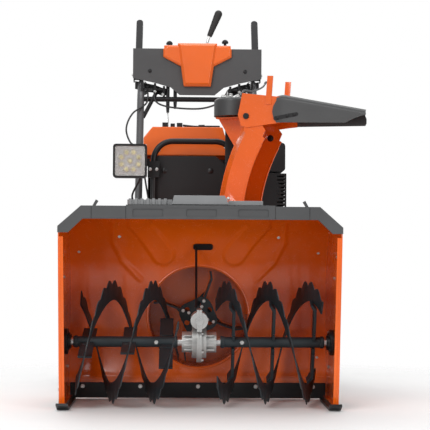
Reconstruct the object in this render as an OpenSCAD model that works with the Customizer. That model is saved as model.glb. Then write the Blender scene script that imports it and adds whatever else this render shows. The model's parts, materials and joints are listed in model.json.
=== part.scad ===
// Two-stage snowblower: auger housing, impeller, swivelling chute, engine,
// friction-disc wheel drive and handlebar controls, each piece a separate solid.
// Origin on the ground below the middle of the housing's front lip,
// +X across the machine, +Y towards the operator, +Z up.

/* [Auger housing] */
// Overall width of the auger housing
housing_w = 762; // [700:2:800]
// Height of the housing's flat roof
roof_z = 540; // [530:1:546]
// Sheet thickness of the housing
sheet_t = 3; // [2:0.5:4]
// Clearance under the scraper bar
scraper_clear = 3; // [2:1:10]

/* [Auger] */
// Height of the auger axis above the ground
auger_z = 178; // [176:1:180]
// Distance of the auger axis behind the front lip
auger_y = 190; // [186:1:194]
// Outer radius of the auger ribbons
auger_r = 174; // [165:1:175]
// Axial length of one full turn of a ribbon
auger_pitch = 230; // [215:5:260]
// Radial width of a ribbon
ribbon_w = 58; // [45:1:60]

/* [Impeller] */
// Height of the impeller axis above the ground
impeller_z = 240; // [240:1:241]
// Tip radius of the impeller
impeller_r = 142; // [130:1:144]
// Inner radius of the impeller housing
drum_r = 147; // [147:1:149]

/* [Chute] */
// Sideways position of the chute's turning axis
chute_x = 106; // [104:1:108]
// Distance of the chute's turning axis behind the front lip
chute_y = 470; // [468:1:472]
// Angle of the chute's opening from the machine's side at rest
chute_turn = 25; // [0:5:30]
// Outer width of the chute channel
chute_w = 143; // [139:1:143]
// Depth of the chute channel
chute_d = 88; // [80:1:90]

/* [Wheels] */
// Outer radius of the tyres
tyre_r = 203; // [200:1:205]
// Width of a tyre
tyre_w = 165; // [140:5:165]
// Distance of the axle behind the front lip
axle_y = 820; // [815:1:825]

/* [Handlebar] */
// Sideways position of each handle tube
handle_x = 200; // [195:1:205]
// Radius of the handle tubes
handle_r = 12.7; // [11:0.1:13]
// Height of the grips above the ground
grip_z = 1040; // [1030:1:1045]

/* [Hidden] */

// Small gap between pieces on different bodies, and running clearance of a shaft.
gap = 0.3;
run = 0.05;

half_w = housing_w / 2;
inner_half = half_w - sheet_t;

// The housing's back: a low arc behind the auger, a straight wall, a wide arc to the roof.
back_y = 392;
low_arc_c = [165, 182];
low_arc_r = back_y - low_arc_c[0];
low_arc_start = -32;
roof_arc_r = 240;
roof_arc_c = [back_y - roof_arc_r, roof_z - roof_arc_r];
foot_z = 10;

// Engine, pulleys and drive train.
crank_z = 560;
disc_z = 330;
disc_face_y = 683;
friction_r = 50;
hex_y = disc_face_y + friction_r + gap;
shaft_r = 11;
pulley_front_y = 604;
pulley_back_y = 640;
belt_w = 14;
frame_half = 150;
frame_front_y = 549.5;
frame_back_y = 1000;
frame_low_z = 130;
deck_z = 427;
axle_r = 9.5;
chain_x = 118;

// Chute outline in its own side view: u along the discharge, z up.
chute_arc_r = 570;
chute_arc_c = [537.4, 512];
chute_low_a = 5.9;
chute_high_a = 32;
chute_half = chute_w / 2;
tilt_u = 70;
tilt_z = 835;
head_r = 61;
head_low_z = 842;

// Handlebar levers and dash.
lever_x = 211;
lever_y = 1195;
lever_z = 1066;
dash_y = 1130;
dash_half = 228;
dash_top = 1152;

light_x = -211;
light_z = 709;
light_size = 104;
light_y = 506;

orange = [0.85, 0.33, 0.12];
dark_grey = [0.30, 0.30, 0.31];
black = [0.12, 0.12, 0.13];
silver = [0.75, 0.75, 0.76];

// ---------- helpers ----------

function arc(c, r, a0, a1, n) =
  [for (i = [0:n]) c + r * [cos(a0 + (a1 - a0) * i / n), sin(a0 + (a1 - a0) * i / n)]];

function unit(v) = v / norm(v);

// Catmull-Rom curve through the points of a route, m steps to a span.
function spline(p, m) = concat(
  [for (i = [0:len(p) - 2]) for (j = [0:m - 1])
    let (t = j / m, a = p[max(i - 1, 0)], b = p[i], c = p[i + 1], d = p[min(i + 2, len(p) - 1)])
    0.5 * (2 * b + (c - a) * t + (2 * a - 5 * b + 4 * c - d) * t * t
      + (3 * b - a - 3 * c + d) * t * t * t)],
  [p[len(p) - 1]]);

// One ring of points round a route at its point i.
function ring(p, i, r, n) =
  let (t = unit(p[min(i + 1, len(p) - 1)] - p[max(i - 1, 0)]),
    a = unit(cross(t, [0.95, 0.1, 0.3])), b = cross(t, a))
  [for (k = [0:n - 1]) p[i] + r * (cos(360 * k / n) * a + sin(360 * k / n) * b)];

// Round tube swept along a route.
module swept(route, r, n = 8) {
  m = len(route);
  pts = [for (i = [0:m - 1]) each ring(route, i, r, n)];
  sides = [for (i = [0:m - 2]) for (k = [0:n - 1])
    [i * n + k, i * n + (k + 1) % n, (i + 1) * n + (k + 1) % n, (i + 1) * n + k]];
  first = [for (k = [n - 1:-1:0]) k];
  last = [for (k = [0:n - 1]) (m - 1) * n + k];
  polyhedron(points = pts, faces = concat([first, last], sides));
}

// Straight round bar between two points.
module rod(p, q, r) {
  d = q - p;
  translate(p) rotate([0, acos(d[2] / norm(d)), atan2(d[1], d[0])])
    cylinder(h = norm(d), r = r, $fn = 48);
}

// Bar through several points, with a slightly proud ball at each corner.
module bar_path(pts, r) {
  for (i = [0:len(pts) - 2]) rod(pts[i], pts[i + 1], r);
  for (i = [1:len(pts) - 2]) translate(pts[i]) sphere(r = r + 0.8, $fn = 48);
}

module along_x(x0, x1, y, z, r, fn = 64) {
  translate([x0, y, z]) rotate([0, 90, 0]) cylinder(h = x1 - x0, r = r, $fn = fn);
}

module along_y(x, y0, y1, z, r, fn = 64) {
  translate([x, y0, z]) rotate([-90, 0, 0]) cylinder(h = y1 - y0, r = r, $fn = fn);
}

// A box given by its low and high corners.
module block(lo, hi) {
  translate(lo) cube(hi - lo);
}

// Outline in X and Z, drawn from y0 to y1.
module plate_xz(points, y0, y1) {
  translate([0, y1, 0]) rotate([90, 0, 0]) linear_extrude(y1 - y0) polygon(points);
}

// Outline in Y and Z, drawn from x0 to x1.
module plate_yz(points, x0, x1) {
  translate([x0, 0, 0]) rotate([90, 0, 90]) linear_extrude(x1 - x0) polygon(points);
}

module both_sides() {
  children();
  mirror([1, 0, 0]) children();
}

// Rounded rectangle centred on a point.
module round_rect(c, size, r) {
  translate(c) {
    square([size[0] - 2 * r, size[1]], center = true);
    square([size[0], size[1] - 2 * r], center = true);
    for (sx = [-1, 1]) for (sy = [-1, 1])
      translate([sx * (size[0] / 2 - r), sy * (size[1] / 2 - r)]) circle(r = r, $fn = 32);
  }
}

// ---------- auger housing ----------

// Path of the housing's back and roof, o mm outside the inner face.
function back_path(o) = concat(
  [[low_arc_c[0] + (low_arc_r + o) * cos(low_arc_start), foot_z]],
  arc(low_arc_c, low_arc_r + o, low_arc_start, 0, 6),
  arc(roof_arc_c, roof_arc_r + o, 0, 90, 15),
  [[0, roof_z + o]]);

// The housing's front edge in side view, from the roof down to the foot.
front_edge = [[0, 470], [20, 340], [48, 170], [62, 80], [78, foot_z]];

function reversed(list) = [for (i = [len(list) - 1:-1:0]) list[i]];

module housing_inside() {
  plate_yz(concat(back_path(0), [[-50, roof_z], [-50, foot_z]]), -inner_half, inner_half);
}

// Sloped corner between the roof and each side, and what it cuts away above.
corner_sheet = [[322, roof_z + sheet_t], [half_w, 494], [half_w, 489], [inner_half, 489], [318, roof_z]];
corner_cut = [[322, roof_z + sheet_t], [half_w, 494], [half_w + 10, 494], [half_w + 10, 600], [322, 600]];

module auger_housing() {
  color(orange) difference() {
    union() {
      plate_yz(concat(back_path(sheet_t), reversed(back_path(0))), -half_w, half_w);
      both_sides() plate_yz(concat(back_path(sheet_t), front_edge), inner_half, half_w);
      both_sides() intersection() {
        plate_xz(corner_sheet, 0, 340);
        plate_yz(concat(back_path(sheet_t - 0.5), front_edge), 300, 400);
      }
    }
    along_y(0, 300, 420, impeller_z, drum_r + sheet_t + 0.4, 96);
    both_sides() plate_xz(corner_cut, -10, 420);
  }
}

trim_face = [[-382, 498], [-320, 553], [320, 553], [382, 498], [382, 481], [354, 481],
  [315, 518], [-315, 518], [-354, 481], [-382, 481]];

module trim_windows() {
  for (x = [-141, 2, 141])
    translate([0, -2, 0]) rotate([90, 0, 0]) linear_extrude(4)
      round_rect([x, 534], [82, 22], 5);
  for (x = [-292, -200, 200, 292]) block([x - 1, -6, 500], [x + 1, -3, 560]);
}

module housing_trim() {
  roof = roof_z + sheet_t + 0.2;
  color(dark_grey) {
    difference() {
      union() {
        plate_xz(trim_face, -5, -0.2);
        block([-320, -1, roof], [320, 40, 548]);
        block([-200, -1, roof], [200, 150, 556]);
        for (x = [-184:14:184]) block([x, 60, 554], [x + 7, 140, 559]);
      }
      trim_windows();
    }
    both_sides() plate_xz([[294, 546], [286, 546], [274, 566], [281, 570]], 9, 15);
  }
}

module scraper_bar() {
  color(black) block([4 - inner_half, 350.6, scraper_clear], [inner_half - 4, 357, 48]);
}

module skid_shoes() {
  sole = [[46, 14], [82, 0], [320, 0], [320, 7], [83.5, 7], [49, 20.5]];
  plate = [[130, 2], [300, 2], [300, 74], [130, 74]];
  color(black) both_sides() {
    plate_yz(sole, 354, 387);
    plate_yz(plate, half_w + 0.2, 386.6);
  }
}

scraper_bolt_x = [-337, -169, 0, 169, 337];

module flange_bolt_head(r, h) {
  cylinder(h = h * 0.4, r = r, $fn = 48);
  translate([0, 0, h * 0.4]) cylinder(h = h * 0.6, r = r * 0.72, $fn = 6);
}

// Bolt head on a face that looks forwards.
module front_bolt(x, y, z, r = 8, h = 6) {
  translate([x, y, z]) rotate([90, 0, 0]) flange_bolt_head(r, h);
}

module chassis_bolts() {
  color(silver) {
    for (x = scraper_bolt_x) front_bolt(x, 350.4, 37, 9, 6);
    for (x = [-106, 38]) front_bolt(x, 591.8, 685, 9, 5);
    for (x = [-168, 170]) front_bolt(x, dash_y - 0.2, 1072, 7, 4);
    both_sides() {
      for (y = [165, 265]) translate([387.2, y, 48]) rotate([0, 90, 0]) flange_bolt_head(9, 5);
      for (a = [45:90:315])
        translate([366.8, auger_y + 28 * cos(a), auger_z + 28 * sin(a)])
          rotate([0, -90, 0]) flange_bolt_head(5, 4);
      for (y = [700, 960]) translate([frame_half + 3.2, y, 400])
        rotate([0, 90, 0]) flange_bolt_head(9, 6);
    }
    for (a = [150, 210, 270, 330, 30])
      translate([7.2, auger_y + 51 * cos(a), auger_z + 51 * sin(a)])
        rotate([0, 90, 0]) flange_bolt_head(4.5, 6);
  }
}

// ---------- impeller housing ----------

duct_lo = [31, 398.6];
duct_hi = [181, 545];
collar_z = 548;

module impeller_housing() {
  out = sheet_t;
  rear = duct_hi[1];
  color(orange) difference() {
    union() {
      along_y(0, 340, rear + out, impeller_z, drum_r + out, 96);
      block([duct_lo[0] - out, duct_lo[1] - out, impeller_z], [duct_hi[0] + out, rear + out, collar_z]);
      translate([chute_x, chute_y, 520]) cylinder(h = 40, r = 79, $fn = 96);
    }
    along_y(0, 330, rear, impeller_z, drum_r, 96);
    block([duct_lo[0], duct_lo[1], impeller_z], [duct_hi[0], rear, 530]);
    translate([chute_x, chute_y, 500]) cylinder(h = 80, r = 68, $fn = 96);
    along_y(0, 500, 600, impeller_z, shaft_r + run);
    housing_inside();
    difference() {
      block([-200, 300, 380], [200, back_y + sheet_t + 0.3, 600]);
      along_y(0, 290, 410, impeller_z, drum_r + out, 96);
    }
  }
}

module auger_bearings() {
  color(black) both_sides() difference() {
    union() {
      along_x(367, inner_half - 0.2, auger_y, auger_z, 36);
      along_x(358, 368, auger_y, auger_z, 20);
    }
    along_x(350, 400, auger_y, auger_z, shaft_r + run);
  }
}

// ---------- auger gearcase ----------

case_r = 48;
barrel_r = 29;
worm_boss_r = 24;

// Right half of the cast gearcase, split on the machine's centre plane.
module gearcase_half() {
  worm_y0 = auger_y - 58;
  worm_y1 = auger_y + 58;
  difference() {
    union() {
      along_x(gap / 2, 20, auger_y, auger_z, case_r - 3);
      along_x(15, 48, auger_y, auger_z, barrel_r);
      along_x(gap / 2, 7, auger_y, auger_z, case_r + 9);
      intersection() {
        along_y(0, worm_y0, worm_y1, impeller_z, worm_boss_r);
        block([gap / 2, 0, 0], [100, 400, 400]);
      }
      block([gap / 2, worm_y0 - 4, impeller_z - 30], [7, worm_y1 + 4, impeller_z + 30]);
      for (z = [-20, -7, 6, 19])
        block([18, auger_y - 31.5, auger_z + z - 1.5], [42, auger_y + 31.5, auger_z + z + 1.5]);
    }
    along_x(-60, 60, auger_y, auger_z, shaft_r + run);
    along_x(-13, 13, auger_y, auger_z, 41);
    along_x(-24, 24, auger_y, auger_z, 21);
    along_y(0, 100, 300, impeller_z, shaft_r + run);
    along_y(0, auger_y - 46, auger_y + 46, impeller_z, 21);
  }
}

module gearcase_right() {
  color(silver) gearcase_half();
}

module gearcase_left() {
  color(silver) mirror([1, 0, 0]) gearcase_half();
}

// Rod from the gearcase to a plate under the roof's curve, brace_a degrees up the curve.
module gearcase_brace() {
  brace_a = 38;
  reach = roof_arc_r - 2 * gap;
  top = [-8, roof_arc_c[0] + reach * cos(brace_a), roof_arc_c[1] + reach * sin(brace_a)];
  color(black) {
    rod([-8, 228, impeller_z + 31], top - [0, 6, 4.6], 3.5);
    block([-14, 218, impeller_z + 30.3], [-2, 240, impeller_z + 33]);
    translate(top) rotate([90 + brace_a, 0, 0]) linear_extrude(5)
      round_rect([20, 0], [58, 20], 9);
  }
}

// ---------- auger ----------

// Helical ribbon: turn is the angle at the front, side is +1 or -1 for its hand.
module ribbon(x0, x1, top_x, side) {
  step = 9;
  span = abs(x1 - x0) / auger_pitch * 360;
  n = ceil(span / step);
  inner = auger_r - ribbon_w;
  half_t = 2.2;
  pts = [for (i = [0:n])
    let (x = x0 + (x1 - x0) * i / n,
      a = 90 + side * 360 * (x - top_x) / auger_pitch,
      r = (i % 2 == 0) ? auger_r : auger_r - 8,
      c = -cos(a), s = sin(a))
    each [[x - half_t, auger_y + inner * c, auger_z + inner * s],
      [x - half_t, auger_y + r * c, auger_z + r * s],
      [x + half_t, auger_y + r * c, auger_z + r * s],
      [x + half_t, auger_y + inner * c, auger_z + inner * s]]];
  flip = side > 0;
  sides = [for (i = [0:n - 1]) for (k = [0:3])
    let (a = i * 4 + k, b = i * 4 + (k + 1) % 4, c = b + 4, d = a + 4)
    each (flip ? [[a, c, b], [a, d, c]] : [[a, b, c], [a, c, d]])];
  end_a = flip ? [0, 1, 2, 3] : [3, 2, 1, 0];
  end_b = flip ? [n * 4 + 3, n * 4 + 2, n * 4 + 1, n * 4] : [n * 4, n * 4 + 1, n * 4 + 2, n * 4 + 3];
  polyhedron(points = pts, faces = concat([end_a, end_b], sides));
}

tube_r = 15;
tube_in = 60;
tube_out = 352;

// Flat bar across the tube at x, turned by a, joining the two ribbons.
module strap(x, a, wide, thick) {
  reach = auger_r - ribbon_w + 3;
  translate([x, auger_y, auger_z]) rotate([a, 0, 0])
    for (s = [-1, 1])
      translate([-wide / 2, -thick / 2, s > 0 ? tube_r - 1 : -reach]) cube([wide, thick, reach - tube_r + 1]);
}

function ribbon_angle(x, top_x, side) = side * 360 * (x - top_x) / auger_pitch;

module auger_left() {
  color(black) {
    difference() {
      union() {
        along_x(-tube_out, -tube_in, auger_y, auger_z, tube_r);
        for (x = [-312, -196, -92]) strap(x, -ribbon_angle(x, -245, 1), 34, 6);
      }
      along_x(-400, 0, auger_y, auger_z, shaft_r + run);
    }
    ribbon(-338, -58, -245, 1);
    ribbon(-338, -58, -130, 1);
  }
}

module auger_right() {
  color(black) {
    difference() {
      union() {
        along_x(tube_in, tube_out, auger_y, auger_z, tube_r);
        for (x = [96, 208, 322]) strap(x, -ribbon_angle(x, 192, -1), 8, 36);
      }
      along_x(0, 400, auger_y, auger_z, shaft_r + run);
    }
    ribbon(50, 336, 192, -1);
    ribbon(50, 336, 77, -1);
  }
}

module auger_shaft() {
  color(silver) along_x(-366, 366, auger_y, auger_z, shaft_r);
}

module worm_wheel() {
  teeth = 20;
  color("goldenrod") difference() {
    union() {
      along_x(-9, 9, auger_y, auger_z, 37.5);
      along_x(-22, 22, auger_y, auger_z, 20);
      translate([0, auger_y, auger_z]) for (i = [0:teeth - 1])
        rotate([i * 360 / teeth, 0, 0]) translate([-9, -2.5, 30]) cube([18, 5, 10]);
    }
    along_x(-30, 30, auger_y, auger_z, shaft_r);
  }
}

module shear_bolts() {
  color(silver) for (x = [-120, 120]) {
    along_y(x, auger_y - 26, auger_y - tube_r - 0.2, auger_z, 6, 6);
    along_y(x, auger_y + tube_r + 0.2, auger_y + 23, auger_z, 6, 6);
  }
}

// ---------- impeller ----------

module impeller() {
  color([0.22, 0.22, 0.23]) difference() {
    union() {
      along_y(0, 402, 520, impeller_z, 20);
      along_y(0, 402, 407, impeller_z, 56);
      translate([0, 0, impeller_z]) for (a = [20:90:290]) rotate([0, a, 0]) {
        block([14, 404, -3], [impeller_r - 6, 518, 3]);
        translate([impeller_r - 12, 404, -3]) rotate([0, -28, 0]) cube([10, 114, 6]);
      }
    }
    along_y(0, 390, 540, impeller_z, shaft_r);
    translate([0, 0, impeller_z]) for (a = [30:60:330])
      rotate([0, a, 0]) translate([41, 395, 0]) rotate([-90, 0, 0]) cylinder(h = 7, r = 5.5, $fn = 32);
  }
}

// Impeller shaft with the worm at its front end, its thread drawn as rings.
module impeller_shaft() {
  color(silver) {
    along_y(0, 128, 622, impeller_z, shaft_r);
    along_y(0, auger_y - 26, auger_y + 26, impeller_z, 16);
    for (y = [-22:8.8:22]) along_y(0, auger_y + y - 2, auger_y + y + 2, impeller_z, 20);
  }
}

// Grooved pulley about the Y axis.
module pulley(x, y, z, r, bore_r) {
  flange = 3;
  difference() {
    union() {
      along_y(x, y - flange, y, z, r + 6);
      along_y(x, y, y + belt_w, z, r);
      along_y(x, y + belt_w, y + belt_w + flange, z, r + 6);
    }
    along_y(x, y - 20, y + 40, z, bore_r);
  }
}

module impeller_pulley() {
  color(silver) pulley(0, pulley_front_y, impeller_z, 72, shaft_r);
}

module crank_pulley() {
  color(silver) {
    along_y(0, 598, 668, crank_z, 12);
    pulley(0, pulley_front_y, crank_z, 32, 12);
    pulley(0, pulley_back_y, crank_z, 32, 12);
  }
}

module drive_disc() {
  color(silver) {
    along_y(0, 632, disc_face_y - 6, disc_z, 9);
    along_y(0, disc_face_y - 8, disc_face_y, disc_z, 78);
    pulley(0, pulley_back_y, disc_z, 42, 9);
  }
}

module belt(y, r0, z0, r1, z1) {
  plate_t = 6;
  inset = 1.2;
  translate([0, y + belt_w - inset, 0]) rotate([90, 0, 0]) linear_extrude(belt_w - 2 * inset)
    difference() {
      hull() {
        translate([0, z0]) circle(r = r0 + plate_t, $fn = 48);
        translate([0, z1]) circle(r = r1 + plate_t, $fn = 48);
      }
      hull() {
        translate([0, z0]) circle(r = r0 + 0.6, $fn = 48);
        translate([0, z1]) circle(r = r1 + 0.6, $fn = 48);
      }
    }
}

module drive_belts() {
  color(black) {
    belt(pulley_front_y, 32, crank_z, 72, impeller_z);
    belt(pulley_back_y, 32, crank_z, 42, disc_z);
  }
}

module hex_shaft() {
  color(silver) {
    along_x(-frame_half + 4, frame_half - 4, hex_y, disc_z, 10.5, 6);
    along_x(chain_x, chain_x + 8, hex_y, disc_z, 24, 12);
  }
}

module friction_wheel() {
  color(black) difference() {
    union() {
      along_x(24, 36, hex_y, disc_z, friction_r);
      along_x(12, 48, hex_y, disc_z, 20);
    }
    along_x(0, 60, hex_y, disc_z, 10.6, 6);
  }
}

// ---------- wheels ----------

rim_r = 104;
track_in = 185;

module axle() {
  color(silver) {
    along_x(-355, 355, axle_y, tyre_r, axle_r);
    along_x(chain_x, chain_x + 8, axle_y, tyre_r, 62, 48);
  }
}

module tyres() {
  shoulder = 26;
  profile = concat([[rim_r, 12], [rim_r, tyre_w - 12]],
    arc([tyre_r - shoulder - 50, tyre_w - shoulder], shoulder, 90, 80, 1),
    arc([tyre_r - shoulder, tyre_w - shoulder], shoulder, 80, 0, 5),
    arc([tyre_r - shoulder, shoulder], shoulder, 0, -80, 5),
    arc([tyre_r - shoulder - 50, shoulder], shoulder, -80, -90, 1));
  color(black) both_sides() translate([track_in, axle_y, tyre_r]) rotate([0, 90, 0])
    rotate_extrude($fn = 96) polygon(profile);
}

module wheel_rims() {
  lip = 5;
  color(dark_grey) both_sides() translate([track_in, axle_y, tyre_r]) rotate([0, 90, 0])
    difference() {
      union() {
        rotate_extrude($fn = 96) polygon([[rim_r - 4, 10], [rim_r - 0.1, 10],
          [rim_r - 0.1, tyre_w - 10], [rim_r - 4, tyre_w - 10]]);
        translate([0, 0, tyre_w / 2]) cylinder(h = 4, r = rim_r - 2, $fn = 96);
        translate([0, 0, 20]) cylinder(h = tyre_w - 30, r = 22, $fn = 48);
        rotate_extrude($fn = 96)
          polygon([[60, tyre_w / 2], [66, tyre_w / 2 + lip + 4], [84, tyre_w / 2 + lip + 4],
            [90, tyre_w / 2]]);
      }
      cylinder(h = 400, r = axle_r, center = true, $fn = 48);
    }
}

// ---------- frame and belt cover ----------

module tractor_frame() {
  t = 3;
  f = frame_half;
  color(black) difference() {
    union() {
      both_sides() block([f, frame_front_y, frame_low_z], [f + t, frame_back_y, deck_z + t]);
      block([-f, frame_front_y, frame_low_z], [f, frame_front_y + t, deck_z]);
      block([-f, 672, deck_z], [f, frame_back_y, deck_z + t]);
      block([-f, frame_front_y, frame_low_z], [f, frame_back_y, frame_low_z + t]);
      block([-f, frame_back_y - t, frame_low_z], [f, frame_back_y, deck_z]);
      both_sides() along_x(f, f + 18, axle_y, tyre_r, 28);
      both_sides() along_x(f - 3, f, hex_y, disc_z, 22);
    }
    along_x(-400, 400, axle_y, tyre_r, axle_r + run);
    along_y(0, 500, 560, impeller_z, 30);
    block([20, 540, 360], [100, 560, 440]);
  }
}

cover_face = [[-138, 155], [-138, 731], [54, 731], [100, 690], [100, 155]];

module belt_cover() {
  wall = 2.5;
  color(black) difference() {
    plate_xz(cover_face, 592, 667);
    plate_xz([[-138 + wall, 155 + wall], [-138 + wall, 731 - wall], [53, 731 - wall],
      [100 - wall, 689], [100 - wall, 155 + wall]], 592 + wall, 700);
    along_y(0, 580, 600, impeller_z, shaft_r + 2);
  }
}

hoop_y = 580;

module hoop_guard() {
  r = 9;
  bend = 60;
  left = -140;
  right = 112;
  top = 776;
  color(black) {
    rod([left, hoop_y, 440], [left, hoop_y, top - bend], r);
    rod([right, hoop_y, 440], [right, hoop_y, top - bend], r);
    rod([left + bend, hoop_y, top], [right - bend, hoop_y, top], r);
    translate([left + bend, hoop_y, top - bend]) rotate([90, 0, 0]) rotate([0, 0, 90])
      rotate_extrude(angle = 90, $fn = 64) translate([bend, 0]) circle(r = r, $fn = 32);
    translate([right - bend, hoop_y, top - bend]) rotate([90, 0, 0])
      rotate_extrude(angle = 90, $fn = 64) translate([bend, 0]) circle(r = r, $fn = 32);
    block([left - 9, frame_front_y + 3.2, 436], [left + 11, hoop_y + 6, 446]);
    block([right - 11, frame_front_y + 3.2, 436], [right + 9, hoop_y + 6, 446]);
  }
}

// ---------- headlight ----------

light_back_y = light_y + 38;
light_pivot_y = light_back_y + 10;

module headlight() {
  h = light_size / 2;
  color(black) {
    difference() {
      translate([0, light_back_y, 0]) rotate([90, 0, 0]) linear_extrude(38)
        round_rect([light_x, light_z], [light_size, light_size], 10);
      translate([0, light_y + 10, 0]) rotate([90, 0, 0]) linear_extrude(20)
        round_rect([light_x, light_z], [light_size - 12, light_size - 12], 6);
      for (z = [-40:10:40]) block([light_x - h - 5, light_back_y - 16, light_z + z - 3],
        [light_x + h + 5, light_back_y + 1, light_z + z + 3]);
    }
    difference() {
      block([light_x - 12, light_back_y - 4, light_z - 10], [light_x + 12, light_pivot_y + 8, light_z + 10]);
      along_x(light_x - 30, light_x + 30, light_pivot_y, light_z, 4 + run);
    }
  }
}

module headlight_lens() {
  color([0.8, 0.8, 0.82]) {
    translate([0, light_y + 9.8, 0]) rotate([90, 0, 0]) linear_extrude(7)
      round_rect([light_x, light_z], [light_size - 12.4, light_size - 12.4], 5.8);
  }
}

module light_bracket() {
  color(black) {
    along_x(light_x - 20, light_x + 20, light_pivot_y, light_z, 4);
    for (x = [light_x - 19, light_x + 15])
      block([x, light_pivot_y - 6, light_z - 8], [x + 4, 572, light_z + 8]);
    block([light_x - 19, 568, light_z - 12], [-152, 572, light_z + 12]);
    difference() {
      block([-158, 564, 662], [-122, 590.5, 712]);
      translate([-140, hoop_y, 600]) cylinder(h = 200, r = 9.2, $fn = 48);
    }
  }
}

// ---------- chute ----------

// Places a side view in u and z, with the third axis towards the front of the machine.
module chute_frame() {
  translate([chute_x, chute_y, 0]) rotate([0, 0, -chute_turn]) rotate([90, 0, 0]) children();
}

function chute_arc(r, a0, a1, n) =
  arc(chute_arc_c, r, 180 - a0, 180 - a1, n);

// Chute section in radius and width, with bevelled back corners.
module chute_section() {
  back = chute_arc_r;
  front = back - chute_d;
  w = chute_half;
  bevel = 26;
  t = 2;
  difference() {
    polygon([[front, -w], [back - bevel, -w], [back, -w + bevel], [back, w - bevel],
      [back - bevel, w], [front, w]]);
    polygon([[front - 1, -w + t], [back - bevel - 1, -w + t], [back - t, -w + bevel + 1],
      [back - t, w - bevel - 1], [back - bevel - 1, w - t], [front - 1, w - t]]);
  }
}

module chute() {
  sweep = chute_high_a - chute_low_a;
  color(orange) {
    chute_frame() {
      translate([chute_arc_c[0], chute_arc_c[1], 0]) rotate([0, 0, 180 - chute_high_a])
        rotate_extrude(angle = sweep, $fn = 180) chute_section();
      for (s = [-1, 1]) difference() {
        translate([0, 0, s * (chute_half - 1) - 0.7]) linear_extrude(1.4)
          polygon([[106, 742], [118, 765], [130, 792], [118, 808], [88, 848], [56, 848], [62, 790]]);
        translate([tilt_u, tilt_z, -100]) cylinder(h = 200, r = 6, $fn = 32);
      }
      translate([0, 0, -3]) linear_extrude(6)
        polygon(concat([[-47, 838], [-47, 832]], chute_arc(chute_arc_r - 1, 23, 31.5, 5), [[56, 838]]));
      translate([-47, 835, -32]) cube([98, 4, 64]);
    }
    difference() {
      translate([chute_x, chute_y, 560.4]) cylinder(h = 12.6, r = 81, $fn = 96);
      translate([chute_x, chute_y, 500]) cylinder(h = 100, r = 68, $fn = 96);
    }
  }
}

deflector_side = [[57, 904], [43, 839], [53, 807], [72, 801], [150, 809], [178, 811], [178, 888]];

module deflector() {
  side = chute_half + 0.5;
  roof = [[60, 822], [96, 893], [178, 886], [178, 888.4], [94.6, 895.4], [58, 823]];
  color(orange) chute_frame() {
    for (s = [-1, 1]) difference() {
      translate([0, 0, s > 0 ? side : -side - 2]) linear_extrude(2) polygon(deflector_side);
      translate([tilt_u, tilt_z, -100]) cylinder(h = 200, r = 6, $fn = 32);
    }
    difference() {
      translate([0, 0, -side - 0.5]) linear_extrude(2 * side + 1) polygon(roof);
      for (s = [-1, 1]) translate([40, 780, s > 0 ? chute_half - 6.8 : -side - 1])
        cube([70, 82, side - chute_half + 7.8]);
    }
    for (s = [-1, 1]) translate([132, 868, s > 0 ? side + 2 : -side - 5]) rotate([0, 0, -4])
      cube([18, 84, 3]);
  }
}

tip_u = 402;

module deflector_extension() {
  side = chute_half + 5.6;
  tip = 56;
  wall = 2.5;
  high = [[166, 812], [166, 892.8], [180, 894.8], [tip_u, 850], [tip_u, 806]];
  low = [[160, 700], [160, 890.8], [180, 892.4], [tip_u + 5, 847], [tip_u + 5, 700]];
  color(dark_grey) chute_frame() difference() {
    intersection() {
      translate([0, 0, -side]) linear_extrude(2 * side) polygon(high);
      rotate([-90, 0, 0]) translate([0, 0, 700]) linear_extrude(300)
        polygon([[150, -side], [185, -side], [tip_u, -tip], [tip_u, tip], [185, side], [150, side]]);
    }
    intersection() {
      translate([0, 0, -side]) linear_extrude(2 * side) polygon(low);
      rotate([-90, 0, 0]) translate([0, 0, 690]) linear_extrude(320)
        polygon([[140, wall - side], [184, wall - side], [tip_u + 5, wall - tip],
          [tip_u + 5, tip - wall], [184, side - wall], [140, side - wall]]);
    }
  }
}

module deflector_pins() {
  outer = chute_half + 2.7;
  color(black) chute_frame() for (s = [-1, 1]) {
    translate([tilt_u, tilt_z, s > 0 ? chute_half - 6.3 : -outer])
      cylinder(h = outer - chute_half + 6.3, r = 5.95, $fn = 32);
    translate([tilt_u, tilt_z, s > 0 ? outer : -outer - 4]) cylinder(h = 4, r = 9, $fn = 32);
    translate([tilt_u, tilt_z, s > 0 ? chute_half - 6.3 : -chute_half + 2.3])
      cylinder(h = 4, r = 9, $fn = 6);
  }
}

module chute_post() {
  color(black) {
    block([chute_x - 24, 555, 450], [chute_x + 4, 565, 890]);
    block([chute_x - 24, duct_hi[1] + sheet_t + 0.3, 450], [chute_x + 4, 556, 518]);
    block([chute_x - 12, chute_y + head_r - 6, 854], [chute_x + 4, 556, 884]);
  }
}

module rotator_head() {
  color(dark_grey) difference() {
    union() {
      translate([chute_x, chute_y, head_low_z]) cylinder(h = 44, r = head_r, $fn = 96);
      translate([chute_x, chute_y, 0]) rotate_extrude($fn = 96)
        polygon(concat([[0, 885]], arc([head_r - 11, 886], 11, 0, 90, 6), [[20, 900], [0, 900]]));
      translate([chute_x, chute_y, 840.2]) cylinder(h = 3, r = 14, $fn = 48);
    }
    block([chute_x - 12.3, chute_y + head_r - 6.3, 853.7], [chute_x + 4.3, 560, 884.3]);
  }
}

// ---------- engine ----------

module engine_block() {
  color([0.28, 0.28, 0.29]) {
    difference() {
      union() {
        block([-125, 672, deck_z + 3.2], [125, 900, 600]);
        along_y(0, 671, 928, crank_z, 70);
        for (z = [600:12:720]) block([-115, 690, z], [110, 880, z + 5]);
        block([-100, 700, 598], [95, 870, 728]);
        block([90, 770, 620], [176, 840, 680]);
      }
      along_y(0, 660, 690, crank_z, 13);
    }
  }
}

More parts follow.
